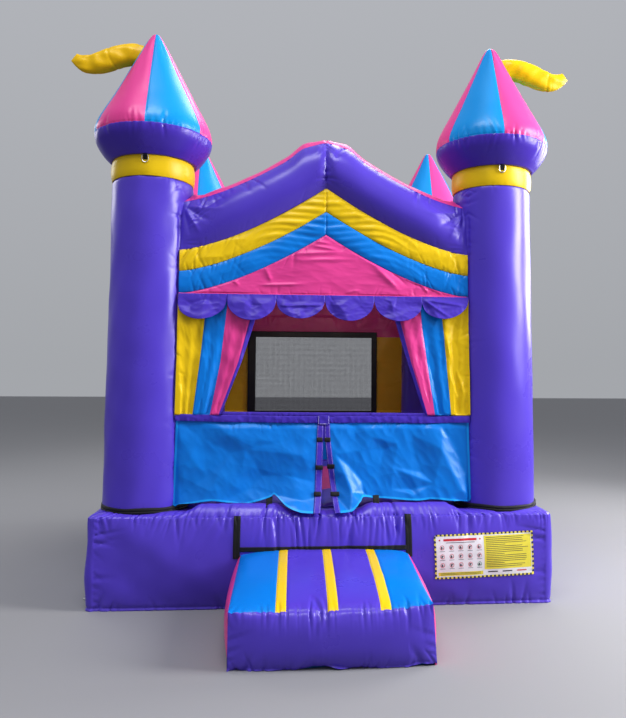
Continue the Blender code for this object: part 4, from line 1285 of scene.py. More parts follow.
def build_sill():
    """Two sewn strips: the lower runs the whole way, the upper only below the window."""
    for name, x, rise, seed in (
        ("sill_strip", spread(-1.200, (1.200, 340)), (0.0, 0.054), 831),
        ("sill_upper_strip", spread(-0.858, (0.850, 240)), (0.050, 0.082), 841),
    ):
        tall = rise[1] - rise[0]
        rows = [
            (0.0, 0.0), (0.004, 0.001), (0.006, 0.2 * tall), (0.007, 0.5 * tall), (0.006, 0.8 * tall),
            (0.004, tall - 0.001), (0.0, tall),
        ]
        line = through(rows, 26)
        gx = x[None, :] + 0 * line[:, :1]
        z = SILL_LOW - 0.004 + rise[0] + line[:, 1:] + 0 * gx
        flat = stack(gx, 0 * gx, z)
        out = line[:, :1] + 0.004 * ripple(flat, 0.3, seed) + 0.004 * crumple(
            flat, 0.10, seed + 2, stretch=(1, 1, 0.7)
        )
        out = out + puckers(gx + 2, line[:, 1:] + 0 * gx, 4.0, seed + 4, 0.035, 0.06, 0.004, 0.007, 0.5)
        out = out + (0.010 if rise[0] == 0 else 0.002)
        sag = 0.004 - 0.014 * smooth((gx + 1.2) / 0.9) + 0.002 * ripple(flat * [1, 1, 0], 0.5, seed + 6)
        grid = stack(gx, -WALL_OFFSET - 0.004 - out, z + sag)
        stands_for = "sill_band" if rise[0] == 0 else ()
        sheet = one_grid(
            name, grid, TRIM_PURPLE, stands_for=stands_for, slot="purple_vinyl", thick=VINYL, flip=True
        )


def net_sheet(name, node_name, across, up, place, material, seed, sag=0.012):
    """A net, a little slack, in the plane that place() puts it in."""
    a, b = np.meshgrid(across, up)
    edge = np.minimum(np.minimum(a - across[0], across[-1] - a), np.minimum(b - up[0], up[-1] - b))
    flat_points = stack(a, 0 * a, b)
    out = sag * smooth(edge / 0.25) + 0.003 * ripple(flat_points, 0.4, seed) * smooth(edge / 0.05)
    out = out + puckers(
        a + 3, np.minimum(b - up[0], up[-1] - b), 6.0, seed + 1, 0.07, 0.10, 0.004, 0.012, 0.3
    )
    net = one_grid(name, place(a, b, out), material, stands_for=node_name, slot="black_mesh")


def frame_strip(name, inner, outer, place, material, seed):
    """A flat border between two rectangles, each (x0, x1, z0, z1)."""
    x0, x1, z0, z1 = inner
    a0, a1, b0, b1 = outer
    xs = spread(a0, (x0, 8), (x1, 60), (a1, 8))
    zs = spread(b0, (z0, 8), (z1, 40), (b1, 8))
    a, b = np.meshgrid(xs, zs)
    middle_a, middle_b = middles(a), middles(b)
    keep = ~((middle_a > x0) & (middle_a < x1) & (middle_b > z0) & (middle_b < z1))
    flat = stack(a, 0 * a, b)
    out = 0.002 + 0.002 * ripple(flat, 0.2, seed)
    one_grid(name, place(a, b, out), material, slot="black_webbing", thick=0.0015, keep=keep)


def build_nets():
    net_sheet(
        "front_net", "front_window_mesh", spread(-1.15, (1.15, 110)), spread(1.528, (2.464, 50)),
        lambda a, b, out: stack(a, -NET_PLANE - 0.3 * out, b), NET_ACROSS, 851,
    )
    wide = WINDOW_HALF + 0.06
    low, high = WINDOW_SILL - 0.06, WINDOW_TOP + 0.06
    across, up = spread(-wide, (wide, 90)), spread(low, (high, 56))
    net_sheet(
        "back_net", "back_window_mesh", across, up,
        lambda a, b, out: stack(a, NET_PLANE + 0.4 * out, b), NET_ACROSS, 861,
    )
    for k, (name, side) in enumerate(SIDES):
        net_sheet(
            f"{name}_net", f"{name}_window_mesh", across, up,
            lambda a, b, out, side=side: stack(side * (NET_PLANE + 0.4 * out), a, b),
            NET_ALONG, 871 + 5 * k,
        )


def wall_sheet(name, node_name, top, place, seed):
    """A wall: blue below the sill, yellow beside the window and pink above it."""
    x = spread(-WALL_HALF, (-WINDOW_HALF, 40), (0.0, 60), (WINDOW_HALF, 60), (WALL_HALF, 40))
    z = spread(FLOOR_LEVEL, (WINDOW_SILL - 0.01, 56), (WINDOW_SILL, 2), (WINDOW_TOP, 70))
    gx, gz = np.meshgrid(x, z)
    v = spread(0.0, (1.0, 30))[:, None]
    head = WINDOW_TOP + (top(x)[None, :] - WINDOW_TOP) * v
    gz = np.vstack([gz, head[1:]])
    gx = np.vstack([gx, np.repeat(x[None, :], 30, axis=0)])
    middle_x = middles(gx)
    rows = np.arange(gx.shape[0] - 1)[:, None] + 0 * middle_x
    inside = (np.abs(middle_x) < WINDOW_HALF) & (rows >= 58) & (rows < 128)
    slots = np.where(rows < 56, 0, np.where(rows < 128, 1, 2))
    flat = stack(gx, 0 * gx, gz)
    side_away = WALL_HALF - np.abs(gx)
    out = 0.006 * ripple(flat, 0.5, seed) + 0.005 * crumple(flat, 0.3, seed + 1)
    out = out + puckers(gz, side_away, 6.0, seed + 3, 0.065, 0.14, 0.008, 0.010, 0.5)
    out = out + puckers(
        gx + 2, np.clip(gz - FLOOR_LEVEL, 0, 9), 4.0, seed + 4, 0.055, 0.12, 0.008, 0.010, 0.5
    )
    out = out + puckers(gx + 2, np.clip(top(gx) - gz, 0, 9), 4.0, seed + 5, 0.055, 0.13, 0.008, 0.010, 0.5)
    out = out - 0.004 * bell(gz - WINDOW_SILL + 0.01, 0.008)
    calm = np.maximum(np.abs(gx) - WINDOW_HALF, np.maximum(WINDOW_SILL - gz, gz - WINDOW_TOP))
    out = out * smooth(calm / 0.05 + 0.1) + 0.004
    sheet = one_grid(
        name, place(gx, gz, out), [BLUE, YELLOW, PINK], stands_for=node_name, slot="blue_vinyl", thick=VINYL,
        slots=slots, keep=~inside,
    )
    high = float(np.max(top(x)) - FLOOR_LEVEL)


def build_walls():
    def back(a, b, out):
        return stack(a, WALL_OFFSET + out, b)

    wall_sheet("back_wall_sheet", "back_wall_panel", lambda x: BACK_SEAM + 0 * x, back, 901)
    gx = spread(-WALL_HALF, (WALL_HALF, 200))[None, :]
    v = spread(0.0, (1.0, 60))[:, None]
    top = gable_line(gx, BACK_LINE)
    z = BACK_SEAM + (top - BACK_SEAM) * v
    gx = gx + 0 * v
    flat = stack(gx, 0 * gx, z)
    out = 0.005 * ripple(flat, 0.5, 941) + 0.005 * crumple(flat, 0.3, 943)
    out = out + puckers(gx + 2, top - z, 4.0, 945, 0.055, 0.13, 0.008, 0.010, 0.6)
    out = out + puckers(gx + 2, z - BACK_SEAM, 4.0, 947, 0.055, 0.09, 0.005, 0.009, 0.5)
    out = out * smooth(np.minimum(top - z, z - BACK_SEAM) / 0.02 + 0.15) + 0.004
    sheet = one_grid(
        "back_gable_sheet", back(gx, z, out), PINK, stands_for="back_gable_panel", slot="pink_vinyl",
        thick=VINYL, flip=True,
    )
    inner = (-WINDOW_HALF + 0.012, WINDOW_HALF - 0.012, WINDOW_SILL + 0.012, WINDOW_TOP - 0.012)
    outer = (-WINDOW_HALF - 0.03, WINDOW_HALF + 0.03, WINDOW_SILL - 0.03, WINDOW_TOP + 0.03)
    deep = (-WINDOW_HALF - 0.085, WINDOW_HALF + 0.050, WINDOW_SILL - 0.060, WINDOW_TOP + 0.060)
    frame_strip(
        "back_window_binding", inner, outer, lambda a, b, o: stack(a, WALL_OFFSET + 0.005 + o, b), TAPE, 911
    )
    frame_strip(
        "back_window_border", inner, deep, lambda a, b, o: stack(a, BORDER_PLANE - o, b), BLACK_VINYL, 912
    )
    for k, (name, side) in enumerate(SIDES):

        def sideways(a, b, out, side=side):
            return stack(side * (WALL_OFFSET + out), a, b)

        wall_sheet(
            f"{name}_wall_sheet", f"{name}_wall_panel", lambda x: 2.830 + 0 * x, sideways, 921 + 10 * k
        )
        frame_strip(
            f"{name}_window_binding", inner, outer,
            lambda a, b, o, side=side: stack(side * (WALL_OFFSET + 0.005 + o), a, b), TAPE, 915 + k,
        )
        frame_strip(
            f"{name}_window_border", inner, deep,
            lambda a, b, o, side=side: stack(side * (BORDER_PLANE - o), a, b), BLACK_VINYL, 917 + k,
        )


# Entry


# Facets of each entry sheet: (x, z, height) points, then the pairs that a crease joins
LEFT_FOLDS = (
    [
        (-1.25, 1.48, 0.0), (-0.98, 1.48, 0.002), (-0.75, 1.48, 0.0), (-0.50, 1.48, 0.004),
        (-0.343, 1.43, 0.004), (-0.16, 1.48, 0.0), (0.05, 1.48, 0.002), (-1.25, 1.10, 0.0),
        (-1.25, 0.762, 0.006), (-1.25, 0.66, 0.006), (0.05, 1.28, 0.006), (0.05, 1.05, 0.010),
        (0.05, 0.85, 0.052), (0.05, 0.66, 0.165), (-0.176, 1.162, 0.044), (-0.427, 0.853, 0.044),
        (-0.337, 0.787, 0.085), (-0.173, 0.794, 0.080), (-0.635, 1.212, 0.020), (-0.749, 1.18, 0.004),
        (-0.587, 1.278, 0.024), (-0.50, 1.00, 0.006), (-0.875, 0.953, 0.030), (-0.76, 0.823, 0.036),
        (-0.985, 0.809, 0.034), (-0.84, 0.783, 0.046), (-1.071, 1.149, 0.020), (-0.94, 1.002, 0.006),
        (-0.60, 0.90, 0.018), (-0.303, 0.735, 0.125), (-0.205, 0.68, 0.155), (-0.467, 0.79, 0.062),
        (-0.662, 0.74, 0.060), (-1.065, 0.76, 0.030), (-0.905, 0.77, 0.050), (-0.98, 1.30, 0.002),
        (-0.78, 1.33, 0.018), (-0.30, 1.00, 0.026), (-0.10, 0.95, 0.030), (-0.90, 0.66, 0.10),
        (-0.50, 0.66, 0.12), (-0.66, 1.06, 0.024), (-0.33, 1.28, 0.022),
    ],
    [
        (4, 42), (42, 14), (14, 37), (37, 15), (18, 14), (20, 42), (18, 41), (15, 16), (15, 17), (22, 23),
        (24, 25), (8, 26), (8, 27), (26, 35), (28, 15),
    ],
)
RIGHT_FOLDS = (
    [
        (1.25, 1.48, 0.0), (0.95, 1.48, 0.002), (0.86, 1.43, 0.006), (0.65, 1.48, 0.0), (0.45, 1.48, 0.004),
        (0.25, 1.48, 0.0), (-0.05, 1.48, 0.002), (1.25, 1.10, 0.0), (1.25, 0.80, 0.006), (1.25, 0.66, 0.006),
        (-0.05, 1.285, 0.006), (-0.05, 1.063, 0.014), (-0.05, 0.849, 0.060), (-0.05, 0.66, 0.165),
        (0.085, 1.17, 0.030), (0.160, 1.01, 0.056), (0.215, 0.86, 0.080), (0.20, 0.70, 0.155),
        (0.190, 1.085, 0.016), (0.305, 0.95, 0.018), (0.325, 0.852, 0.026), (0.085, 0.95, 0.018),
        (0.115, 0.80, 0.062), (0.955, 1.21, 0.046), (1.125, 0.87, 0.046), (0.965, 1.40, 0.002),
        (1.085, 1.19, 0.004), (1.200, 0.90, 0.004), (0.557, 1.061, 0.026), (0.895, 0.926, 0.046),
        (1.031, 0.826, 0.044), (0.75, 1.15, 0.006), (0.60, 1.25, 0.020), (0.70, 0.88, 0.020),
        (0.291, 0.775, 0.110), (0.340, 0.835, 0.040), (0.491, 0.80, 0.052), (0.743, 0.80, 0.056),
        (0.878, 0.77, 0.050), (1.167, 0.76, 0.020), (0.541, 0.885, 0.038), (0.743, 0.836, 0.050),
        (0.372, 1.31, 0.024), (0.49, 1.21, 0.004), (0.30, 1.20, 0.020), (0.45, 1.05, 0.010),
        (0.18, 1.35, 0.016), (0.72, 1.33, 0.008), (0.60, 0.66, 0.12), (0.95, 0.66, 0.08), (0.80, 1.02, 0.012),
        (0.25, 1.30, 0.004),
    ],
    [
        (14, 15), (15, 16), (16, 17), (14, 18), (18, 19), (19, 20), (20, 34), (2, 23), (23, 24), (25, 26),
        (26, 27), (28, 29), (29, 30), (35, 41), (40, 41), (32, 42), (42, 44), (43, 45), (31, 50), (21, 22),
        (35, 40),
    ],
)


def bolster_height(x, y):
    """The mattress's top near its front edge, a little padded."""
    inset = np.clip(BASE_HALF + y, 0, 0.32)
    line = np.interp(
        inset, [0.0, 0.012, 0.035, 0.07, 0.11, 0.20, 0.32], [0.700, 0.712, 0.724, 0.732, 0.733, 0.724, 0.716]
    )
    crest = np.interp(
        inset,
        [0.0, 0.015, 0.04, 0.075, 0.11, 0.14, 0.165, 0.185],
        [0.0, 0.010, 0.034, 0.055, 0.060, 0.048, 0.022, 0.004],
    )
    return line + crest * crest_share(x) + 0.004


def entry_edges(side):
    """Both edges of a slit trim by height, and the sheet's bottom edge across."""
    levels = [0.69, 0.72, 0.85, 1.063, 1.285, 1.442, 1.46]
    if side < 0:
        inner = [-0.037, -0.035, -0.025, -0.015, -0.012, -0.013, -0.013]
        outer = [-0.092, -0.090, -0.079, -0.073, -0.066, -0.059, -0.059]
        bottom = [
            (-0.030, 0.694), (-0.040, 0.694), (-0.12, 0.694), (-0.205, 0.705), (-0.303, 0.751),
            (-0.403, 0.845), (-0.430, 0.832), (-0.467, 0.817), (-0.56, 0.788), (-0.662, 0.769),
            (-0.759, 0.783), (-0.905, 0.798), (-1.065, 0.777), (-1.22, 0.754),
        ]
    else:
        inner = [0.075, 0.072, 0.055, 0.027, 0.002, -0.003, -0.003]
        outer = [0.121, 0.118, 0.101, 0.073, 0.047, 0.041, 0.041]
        bottom = [
            (0.060, 0.694), (0.067, 0.694), (0.158, 0.698), (0.224, 0.715), (0.291, 0.785), (0.324, 0.823),
            (0.400, 0.816), (0.491, 0.811), (0.743, 0.790), (0.878, 0.800), (1.03, 0.786), (1.167, 0.776),
            (1.22, 0.800),
        ]
    line = through(bottom, 300)
    return levels, inner, outer, line[np.argsort(line[:, 0])]


def entry_relief(x, z, side):
    """How far an entry sheet stands out of its plane."""
    out = facets(x, z, *(LEFT_FOLDS if side < 0 else RIGHT_FOLDS), soften=5)
    flat = stack(x, 0 * x, z)
    out = 1.25 * out + 0.005 * ripple(flat, 0.55, 951 + side) + 0.007 * crumple(flat, 0.42, 953 + side)
    out = out + 0.0045 * crumple(flat, 0.22, 957 + side)
    out = out * smooth((SILL_LOW - z) / 0.07) * smooth((1.205 - np.abs(x)) / 0.05)
    out = out + puckers(x + 2, SILL_LOW - z, 4.0, 959 + side, 0.045, 0.11, 0.007, 0.009, 0.5)
    return np.maximum(out, 0.0)


def entry_place(x, z, side, lift=0.0):
    """A sheet's point, moved along the line of sight as it stands out, and kept above the mattress."""
    out = entry_relief(x, z, side) + lift
    y = -WALL_OFFSET - 0.004 - out
    z = z + out * (EYE_HEIGHT - z) / EYE_DISTANCE
    return stack(x, y, np.maximum(z, bolster_height(x, y) + lift))


def entry_grid(side, across, down, trim=False):
    """Where the points of an entry sheet, or of its slit trim, lie in the wall's plane."""
    levels, inner, outer, bottom = entry_edges(side)
    s, t = across[None, :], down[:, None]

    def reach(z):
        edge = np.interp(z, levels, inner)
        if trim:
            return edge, np.interp(z, levels, outer)
        return edge, side * (1.196 + 0.016 * smooth((SILL_LOW - z) / 0.7))

    first, last = reach(0.72)
    low = np.interp(first + (last - first) * s, bottom[:, 0], bottom[:, 1])
    z = SILL_LOW + 0.012 + (low - SILL_LOW - 0.012) * t
    first, last = reach(z)
    return first + (last - first) * s, z


def build_entry():
    for name, side in SIDES:
        across = spread(0.0, (0.05, 10), (0.5, 96), (0.984, 70), (1.0, 3))
        down = spread(0.0, (0.5, 66), (0.974, 82), (1.0, 4))
        x, z = entry_grid(side, across, down)
        slots = np.zeros((len(down) - 1, len(across) - 1), int)
        slots[-4:] = 1
        slots[:, -3:] = 1
        stands_for = (f"entry_flap_{name}", f"entry_corner_{name}")
        sheet = one_grid(
            f"entry_sheet_{name}", entry_place(x, z, side), [SHEET_BLUE, HEM_BLUE], None, stands_for,
            "blue_vinyl", VINYL, slots=slots, flip=side > 0,
        )
        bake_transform(sheet)
        strip = np.array([0.0, 0.1, 0.25, 0.4, 0.5, 0.6, 0.75, 0.9, 1.0])
        x, z = entry_grid(side, strip, down, trim=True)
        grid = entry_place(x, z, side, 0.003 + 0.003 * bow(strip, 4)[None, :])
        trim_piece = one_grid(
            f"slit_trim_{name}", grid, TRIM_PURPLE, None, slot="purple_vinyl", thick=VINYL, flip=side > 0
        )
        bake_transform(trim_piece)
        build_slit_stitches(name, side, down)
        build_slit_tabs(name, side)
        build_hold_down(name, side)
    build_slit_patch()


def stitch_row(points, radius, length=0.0055, gap=0.0050):
    """Short threads along a line of points, raised towards the front."""
    p = np.array(points, float)
    steps = np.concatenate([[0], np.cumsum(np.linalg.norm(np.diff(p, axis=0), axis=1))])
    skin = Skin()
    at = np.arange(gap, steps[-1] - length, length + gap)
    for s in at:
        ends = [np.array([np.interp(v, steps, p[:, k]) for k in range(3)]) for v in (s, s + length)]
        mid = [ends[0] + (ends[1] - ends[0]) * f for f in (0.0, 0.18, 0.5, 0.82, 1.0)]
        bend = [m + FRONT * radius * h for m, h in zip(mid, (-0.6, 0.6, 0.9, 0.6, -0.6))]
        skin.join(tube(bend, [radius * 0.3, radius, radius, radius, radius * 0.3], 5))
    return skin


def build_slit_stitches(name, side, down):
    skin = Skin()
    for share in (0.14, 0.86):
        x, z = entry_grid(side, np.array([share]), down, trim=True)
        skin.join(stitch_row(entry_place(x, z, side, 0.0072)[:, 0], radius=0.0012))
    mesh = skin.mesh(f"slit_stitches_{name}", weld=1e-6, sharp=None)
    stitches = piece(f"slit_stitches_{name}", mesh, THREAD, None, slot="label_vinyl")
    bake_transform(stitches)


def build_slit_tabs(name, side):
    """Three short hook tabs on a slit trim."""
    tabs = {
        -1: ((-0.042, 1.289, 0.046), (-0.044, 1.063, 0.060), (-0.058, 0.850, 0.056)),
        1: ((0.022, 1.288, 0.048), (0.050, 1.071, 0.058), (0.082, 0.849, 0.070)),
    }[side]
    for i, (x0, z0, wide) in enumerate(tabs):
        gx, gz = np.meshgrid(spread(x0 - wide / 2, (x0 + wide / 2, 12)), spread(z0 - 0.017, (z0 + 0.017, 8)))
        puff = 0.010 + 0.005 * bow((gz - z0 + 0.017) / 0.034, 4) * bow((gx - x0 + wide / 2) / wide, 6)
        body = "house" if i == 0 else f"entry_corner_{name}"
        grid = entry_place(gx, gz, side, puff)
        one_grid(
            f"slit_tab_{name}_{i}", grid, TAPE, body, slot="black_webbing", thick=0.004, flip=side > 0,
            sharp=50,
        )


def build_hold_down(name, side):
    """The strap that ties a sheet's lower edge to the mattress."""
    x0 = {-1: -0.440, 1: 0.416}[side]
    path = [
        (-1.706, 0.850), (-1.722, 0.838), (-1.738, 0.812), (-1.746, 0.790), (-1.756, 0.776), (-1.776, 0.766)
    ]
    line = through(path, 26)
    grid = stack(spread(x0 - 0.024, (x0 + 0.024, 10)), line[:, :1], line[:, 1:])
    one_grid(f"hold_down_{name}", grid, TAPE, slot="black_webbing", thick=0.003, sharp=50)


def build_slit_patch():
    """The stitched reinforcement over the top of the slit."""
    for name, x0, x1, z0, z1, lift in (
        ("slit_patch", -0.054, 0.037, 1.412, 1.486, 0.024), ("slit_join", -0.060, 0.042, 1.277, 1.420, 0.017)
    ):
        gx, gz = np.meshgrid(spread(x0, (x1, 18)), spread(z0, (z1, 24)))
        out = lift + 0.003 * bow((gx - x0) / (x1 - x0), 4) + 0.002 * ripple(stack(gx, 0 * gx, gz), 0.06, 965)
        if name == "slit_join":
            out = out - 0.006 * bell(gx + 0.008, 0.005) + 0.012 * smooth((SILL_LOW - gz) / 0.12) - 0.004
        one_grid(
            name, stack(gx, -WALL_OFFSET - out, gz), TRIM_PURPLE, slot="purple_vinyl", thick=0.002, sharp=50
        )
    skin = Skin()
    y = -WALL_OFFSET - 0.0300
    for row in (
        [(-0.050, y, 1.484), (-0.050, y, 1.418)],
        [(0.032, y, 1.484), (0.032, y, 1.418)],
        [(-0.046, y, 1.418), (0.030, y, 1.418)],
    ):
        skin.join(stitch_row(row, radius=0.0022, gap=0.004, length=0.007))
    mesh = skin.mesh("slit_patch_stitches", weld=1e-6, sharp=None)
    piece("slit_patch_stitches", mesh, THREAD, slot="label_vinyl")


# Label


LABEL_COLOURS = [LABEL_WHITE, LABEL_YELLOW, LABEL_DARK, LABEL_RED, LABEL_GREEN]
LABEL_CORNERS = ((0.863, 0.554), (1.660, 0.571), (1.667, 0.241), (0.874, 0.223))


def on_label(u, v, lift):
    """A point on the label: u from left to right, v from top to bottom."""
    (ax, az), (bx, bz), (cx, cz), (dx, dz) = LABEL_CORNERS
    x = (ax + (bx - ax) * u) * (1 - v) + (dx + (cx - dx) * u) * v
    z = (az + (bz - az) * u) * (1 - v) + (dz + (cz - dz) * u) * v
    return base_side(front_u(x), z, lift)


def label_patch(skin, u0, u1, v0, v1, slot, lift, cells=(24, 10)):
    u, v = np.meshgrid(np.linspace(u0, u1, cells[0] + 1), np.linspace(v0, v1, cells[1] + 1))
    skin.add(on_label(u, v, lift), slot)


def label_ring(skin, u, v, outer, inner, slot, lift, wide=0.82, tall=0.32, sides=28):
    angle = np.linspace(0, math.tau, sides + 1)[None, :]
    radius = np.array([outer, inner])[:, None]
    skin.add(on_label(u + radius * np.cos(angle) / wide, v - radius * np.sin(angle) / tall, lift), slot)


def build_label():
    """A generic notice: a title bar, rows of round signs and plain ruled areas, with no wording."""
    skin = Skin()
    label_patch(skin, 0.0, 1.0, 0.0, 1.0, 0, 0.0030, (90, 36))
    label_patch(skin, 0.495, 0.985, 0.05, 0.835, 1, 0.0036, (44, 26))
    label_patch(skin, 0.025, 0.48, 0.865, 0.95, 1, 0.0036, (40, 4))
    for i in range(24):
        u0 = i / 24 + 0.008
        for v0, v1 in ((-0.022, 0.020), (0.980, 1.022)):
            label_patch(skin, u0, u0 + 0.018, v0, v1, 2, 0.0042, (3, 2))
            label_patch(skin, u0 + 0.020, u0 + 0.040, v0, v1, 1, 0.0042, (3, 2))
    for i in range(9):
        v0 = i / 9 + 0.02
        for u0, u1 in ((-0.010, 0.008), (0.992, 1.010)):
            label_patch(skin, u0, u1, v0, v0 + 0.045, 2, 0.0042, (2, 2))
            label_patch(skin, u0, u1, v0 + 0.05, v0 + 0.10, 1, 0.0042, (2, 2))
    label_patch(skin, 0.085, 0.42, 0.085, 0.135, 3, 0.0040, (30, 3))
    for u in (0.045, 0.455):
        label_ring(skin, u, 0.11, 0.006, 0.0, 3, 0.0040)
    label_patch(skin, 0.11, 0.40, 0.168, 0.180, 2, 0.0040, (30, 1))
    for row in range(3):
        for column in range(5):
            u, v = 0.068 + 0.094 * column, 0.285 + 0.205 * row
            colour = 4 if (row, column) == (2, 4) else 3
            label_ring(skin, u, v, 0.0175, 0.0145, colour, 0.0042)
            label_ring(skin, u - 0.004, v - 0.012, 0.0048, 0.0, 2, 0.0042)
            label_patch(skin, u - 0.010, u + 0.002, v - 0.002, v + 0.034, 2, 0.0042, (2, 2))
            if (row + column) % 2:
                label_patch(skin, u + 0.001, u + 0.013, v - 0.022, v - 0.008, 2, 0.0042, (2, 2))
            else:
                label_patch(skin, u - 0.014, u + 0.014, v + 0.010, v + 0.020, 2, 0.0042, (2, 2))
            label_patch(skin, u - 0.026, u + 0.026, v + 0.080, v + 0.088, 2, 0.0040, (4, 1))
    rng = np.random.default_rng(7)
    for i in range(17):
        v0 = 0.085 + 0.043 * i
        end = 0.955 - rng.uniform(0, 0.07) - (0.22 if i % 5 == 4 else 0.0)
        label_patch(skin, 0.515, end, v0, v0 + 0.011, 2, 0.0042, (30, 1))
    for i in range(3):
        u0 = 0.53 + 0.15 * i
        label_patch(skin, u0, u0 + 0.10, 0.885, 0.910, (2, 2, 3)[i], 0.0042, (8, 1))
    for i in range(2):
        label_patch(skin, 0.045, 0.455, 0.885 + 0.03 * i, 0.895 + 0.03 * i, 2, 0.0042, (30, 1))
    mesh = skin.mesh("notice_label", weld=1e-7, sharp=None)
    piece("notice_label", mesh, LABEL_COLOURS, slot="label_vinyl")


# Anchors, vent, sleeve and fan


def build_anchors():
    for tower, (side, depth) in TOWERS.items():
        y0 = depth * ANCHOR_Y
        axis = side * ANCHOR_AXIS
        path = [
            (side * 1.838, 0.235), (side * 1.842, 0.18), (side * 1.846, 0.11), (side * 1.845, 0.05),
            (side * 1.850, 0.022), (axis + side * 0.0005, 0.0175), (axis + side * 0.0070, 0.0105),
            (axis, 0.0035), (side * 1.850, 0.0045),
        ]
        line = through(path, 60)
        grid = stack(line[:, :1], y0 + spread(-0.024, (0.024, 10)), line[:, 1:])
        one_grid(
            f"anchor_strap_{tower}", grid, TAPE, stands_for=f"anchor_tab_{tower}", slot="black_webbing",
            thick=0.0018,
        )


def build_sleeve_and_vent():
    x0, z0, start, end = 0.75, 0.17, 1.8303, 2.3903
    y = spread(start, (end, 110))[:, None]
    angle = np.linspace(0, math.tau, 121)[None, :]
    radius = 0.128 + 0.004 * np.sin((y - start) * 26) * smooth((y - start) / 0.1)
    tie = 2.335
    radius = radius - 0.022 * bell(y - tie, 0.028)
    radius = radius + puckers(
        angle * SLEEVE_RADIUS, np.abs(y - tie), math.tau * SLEEVE_RADIUS, 971, 0.028, 0.13, 0.012, 0.008, 0.1
    )
    radius = radius + puckers(
        angle * SLEEVE_RADIUS, y - start, math.tau * SLEEVE_RADIUS, 973, 0.04, 0.10, 0.006, 0.009, 0.2
    )
    place = stack(np.cos(angle) + 0 * y, y * 6 + 0 * angle, np.sin(angle) + 0 * y)
    radius = radius + 0.0025 * ripple(place, 1.2, 975)
    sag = -0.004 * bow((y - start) / (end - start))
    grid = stack(x0 + radius * np.cos(angle), y, np.maximum(z0 + sag + radius * np.sin(angle), 0.012))
    one_grid(
        "inflation_sleeve_skin", grid, PURPLE, stands_for="inflation_sleeve", slot="purple_vinyl", thick=VINYL
    )
    turn = np.linspace(0, math.tau, 97)
    rows = through([(-0.014, 0.1055), (-0.013, 0.1105), (0.0, 0.1118), (0.013, 0.1105), (0.014, 0.1055)], 16)
    gx = x0 + rows[:, 1:] * np.cos(turn)
    gz = z0 + rows[:, 1:] * np.sin(turn)
    one_grid(
        "sleeve_strap", stack(gx, tie + rows[:, :1] + 0 * turn, gz), TAPE, slot="black_webbing", thick=0.002
    )
    quarters = np.linspace(0, math.tau, 5)[:-1] + math.pi / 4
    buckle = [(x0 + 0.02 * math.cos(a), tie + 0.016 * math.sin(a), z0 + 0.1165) for a in quarters]
    wire = tube(through(buckle, 24, closed=True), 0.0024, 8, closed=True)
    piece("sleeve_buckle", wire.mesh("sleeve_buckle"), STEEL, slot="steel_wire")

    half = 0.15
    gx, gz = np.meshgrid(spread(VENT_X - half, (VENT_X + half, 50)), spread(VENT_LOW, (VENT_HINGE, 50)))
    u, v = (gx - VENT_X + half) / (2 * half), (gz - VENT_LOW) / 0.3
    flat = stack(gx, 0 * gx, gz)
    out = 0.004 + 0.004 * bow(u, 3) * bow(v, 3) + 0.003 * ripple(flat, 0.12, 981) * bow(u, 4)
    hem = np.minimum(np.minimum(u, 1 - u), np.minimum(v, 1 - v)) * 0.3
    out = out - 0.0018 * bell(hem - 0.018, 0.003) + 0.0015 * smooth((0.018 - hem) / 0.004)
    flap = one_grid(
        "vent_flap_sheet", stack(gx, VENT_PLANE + out, gz), PURPLE, "vent_flap", "vent_flap", "purple_vinyl",
        0.003, flip=True,
    )
    gx, gz = np.meshgrid(spread(VENT_X - half, (VENT_X + half, 30)), spread(0.482, (0.505, 8)))
    out = 0.009 + 0.002 * bow((gz - 0.482) / 0.023)
    tape = one_grid(
        "vent_hinge_tape", stack(gx, VENT_PLANE + out, gz), TAPE, None, slot="black_webbing", thick=0.002,
        flip=True, sharp=50,
    )
    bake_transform(tape)


CARRIED = {
    "blower_casing": FAN_BLUE,
    "blower_impeller": BLACK_PLASTIC,
    "blower_motor": GREY_PAINT,
    "blower_inlet_grille": GREY_PAINT,
    "blower_switch": BLACK_PLASTIC,
}


def dress_cad_nodes():
    """Finishes for the CAD nodes that stay: the rings and the fan."""
    rings = [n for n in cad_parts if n.startswith(("tower_ring_", "anchor_ring_"))]
    for name, material in [*CARRIED.items(), *[(n, STEEL) for n in rings]]:
        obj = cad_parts[name]
        obj.data.materials.clear()
        obj.data.materials.append(material)


# Room


def area_light(name, location, target, size, power, colour=(1, 1, 1), spread=180):
    data = bpy.data.lights.new(name, "AREA")
    data.shape = "RECTANGLE"
    data.size, data.size_y = size
    data.energy = power
    data.spread = math.radians(spread)
    data.color = colour
    light = bpy.data.objects.new(name, data)
    light.location = location
    light.visible_camera = False
    light.rotation_euler = (Vector(target) - Vector(location)).to_track_quat("-Z", "Y").to_euler()
    bpy.context.scene.collection.objects.link(light)


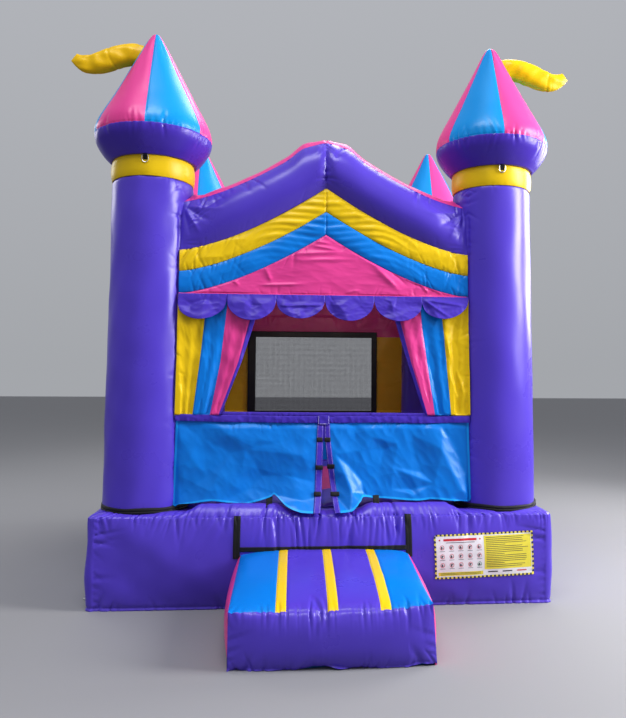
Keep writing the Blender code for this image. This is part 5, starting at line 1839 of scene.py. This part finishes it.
def build_room():
    bm = bmesh.new()
    bmesh.ops.create_grid(bm, x_segments=1, y_segments=1, size=60)
    mesh = bpy.data.meshes.new("studio_floor")
    bm.to_mesh(mesh)
    bm.free()
    floor = bpy.data.objects.new("studio_floor", mesh)
    bpy.context.scene.collection.objects.link(floor)
    material, tree, shader, coords = blank("studio_floor")
    colour = tinted(tree, coords, (0.27, 0.27, 0.28), 3.0, 0.985, 1.01)
    feed(tree, shader, {"Base Color": colour, "Roughness": 0.75})
    mesh.materials.append(material)
    world = bpy.data.worlds.new("studio")
    bpy.context.scene.world = world
    world.use_nodes = True
    tree = world.node_tree
    sky = node(tree, "ShaderNodeTexCoord", {}).outputs["Generated"]
    up = node(tree, "ShaderNodeSeparateXYZ", {"Vector": sky}).outputs["Z"]
    rise = node(tree, "ShaderNodeMapRange", {"Value": up, "From Min": 0.02, "From Max": 0.75})
    colour = mixed(tree, rise.outputs[0], (0.34, 0.35, 0.37, 1.0), (0.43, 0.44, 0.47, 1.0))
    feed(tree, tree.nodes["Background"], {"Color": colour, "Strength": 1.0})
    area_light("key", (7.4, -3.8, 5.0), (0.4, -1.7, 2.3), (2.8, 4.6), 480, (1.0, 0.98, 0.96), 140)
    area_light("side_right", (7.6, 1.8, 4.6), (1.2, -1.0, 2.8), (4.0, 4.0), 250, spread=140)
    area_light("front_top", (-1.5, -7.5, 13.5), (0, -1.5, 1.2), (8.0, 4.0), 880, (0.97, 0.98, 1.0))
    area_light("rim_left", (-8.5, 4.5, 6.5), (0, 0, 3.0), (4.0, 3.0), 110)
    area_light("skylight", (2.6, 4.6, 12.0), (0.3, 0, 3.0), (5.0, 4.0), 330)
    area_light("chamber_fill", (0, -1.25, 2.62), (0, 1.66, 1.9), (1.8, 0.25), 12, (1.0, 0.86, 0.74))
    scene = bpy.context.scene
    scene.view_settings.view_transform = "Standard"
    scene.view_settings.look = "Medium High Contrast"
    scene.view_settings.exposure = 0.0


for build in (
    build_camera, build_base, build_front_tapes, build_floor, build_ramp, build_towers, build_pennants,
    build_beams, build_roof, build_gable, build_valance, build_curtains, build_sill, build_nets, build_walls,
    build_entry, build_label, build_anchors, build_sleeve_and_vent, dress_cad_nodes, build_room,
):
    build()
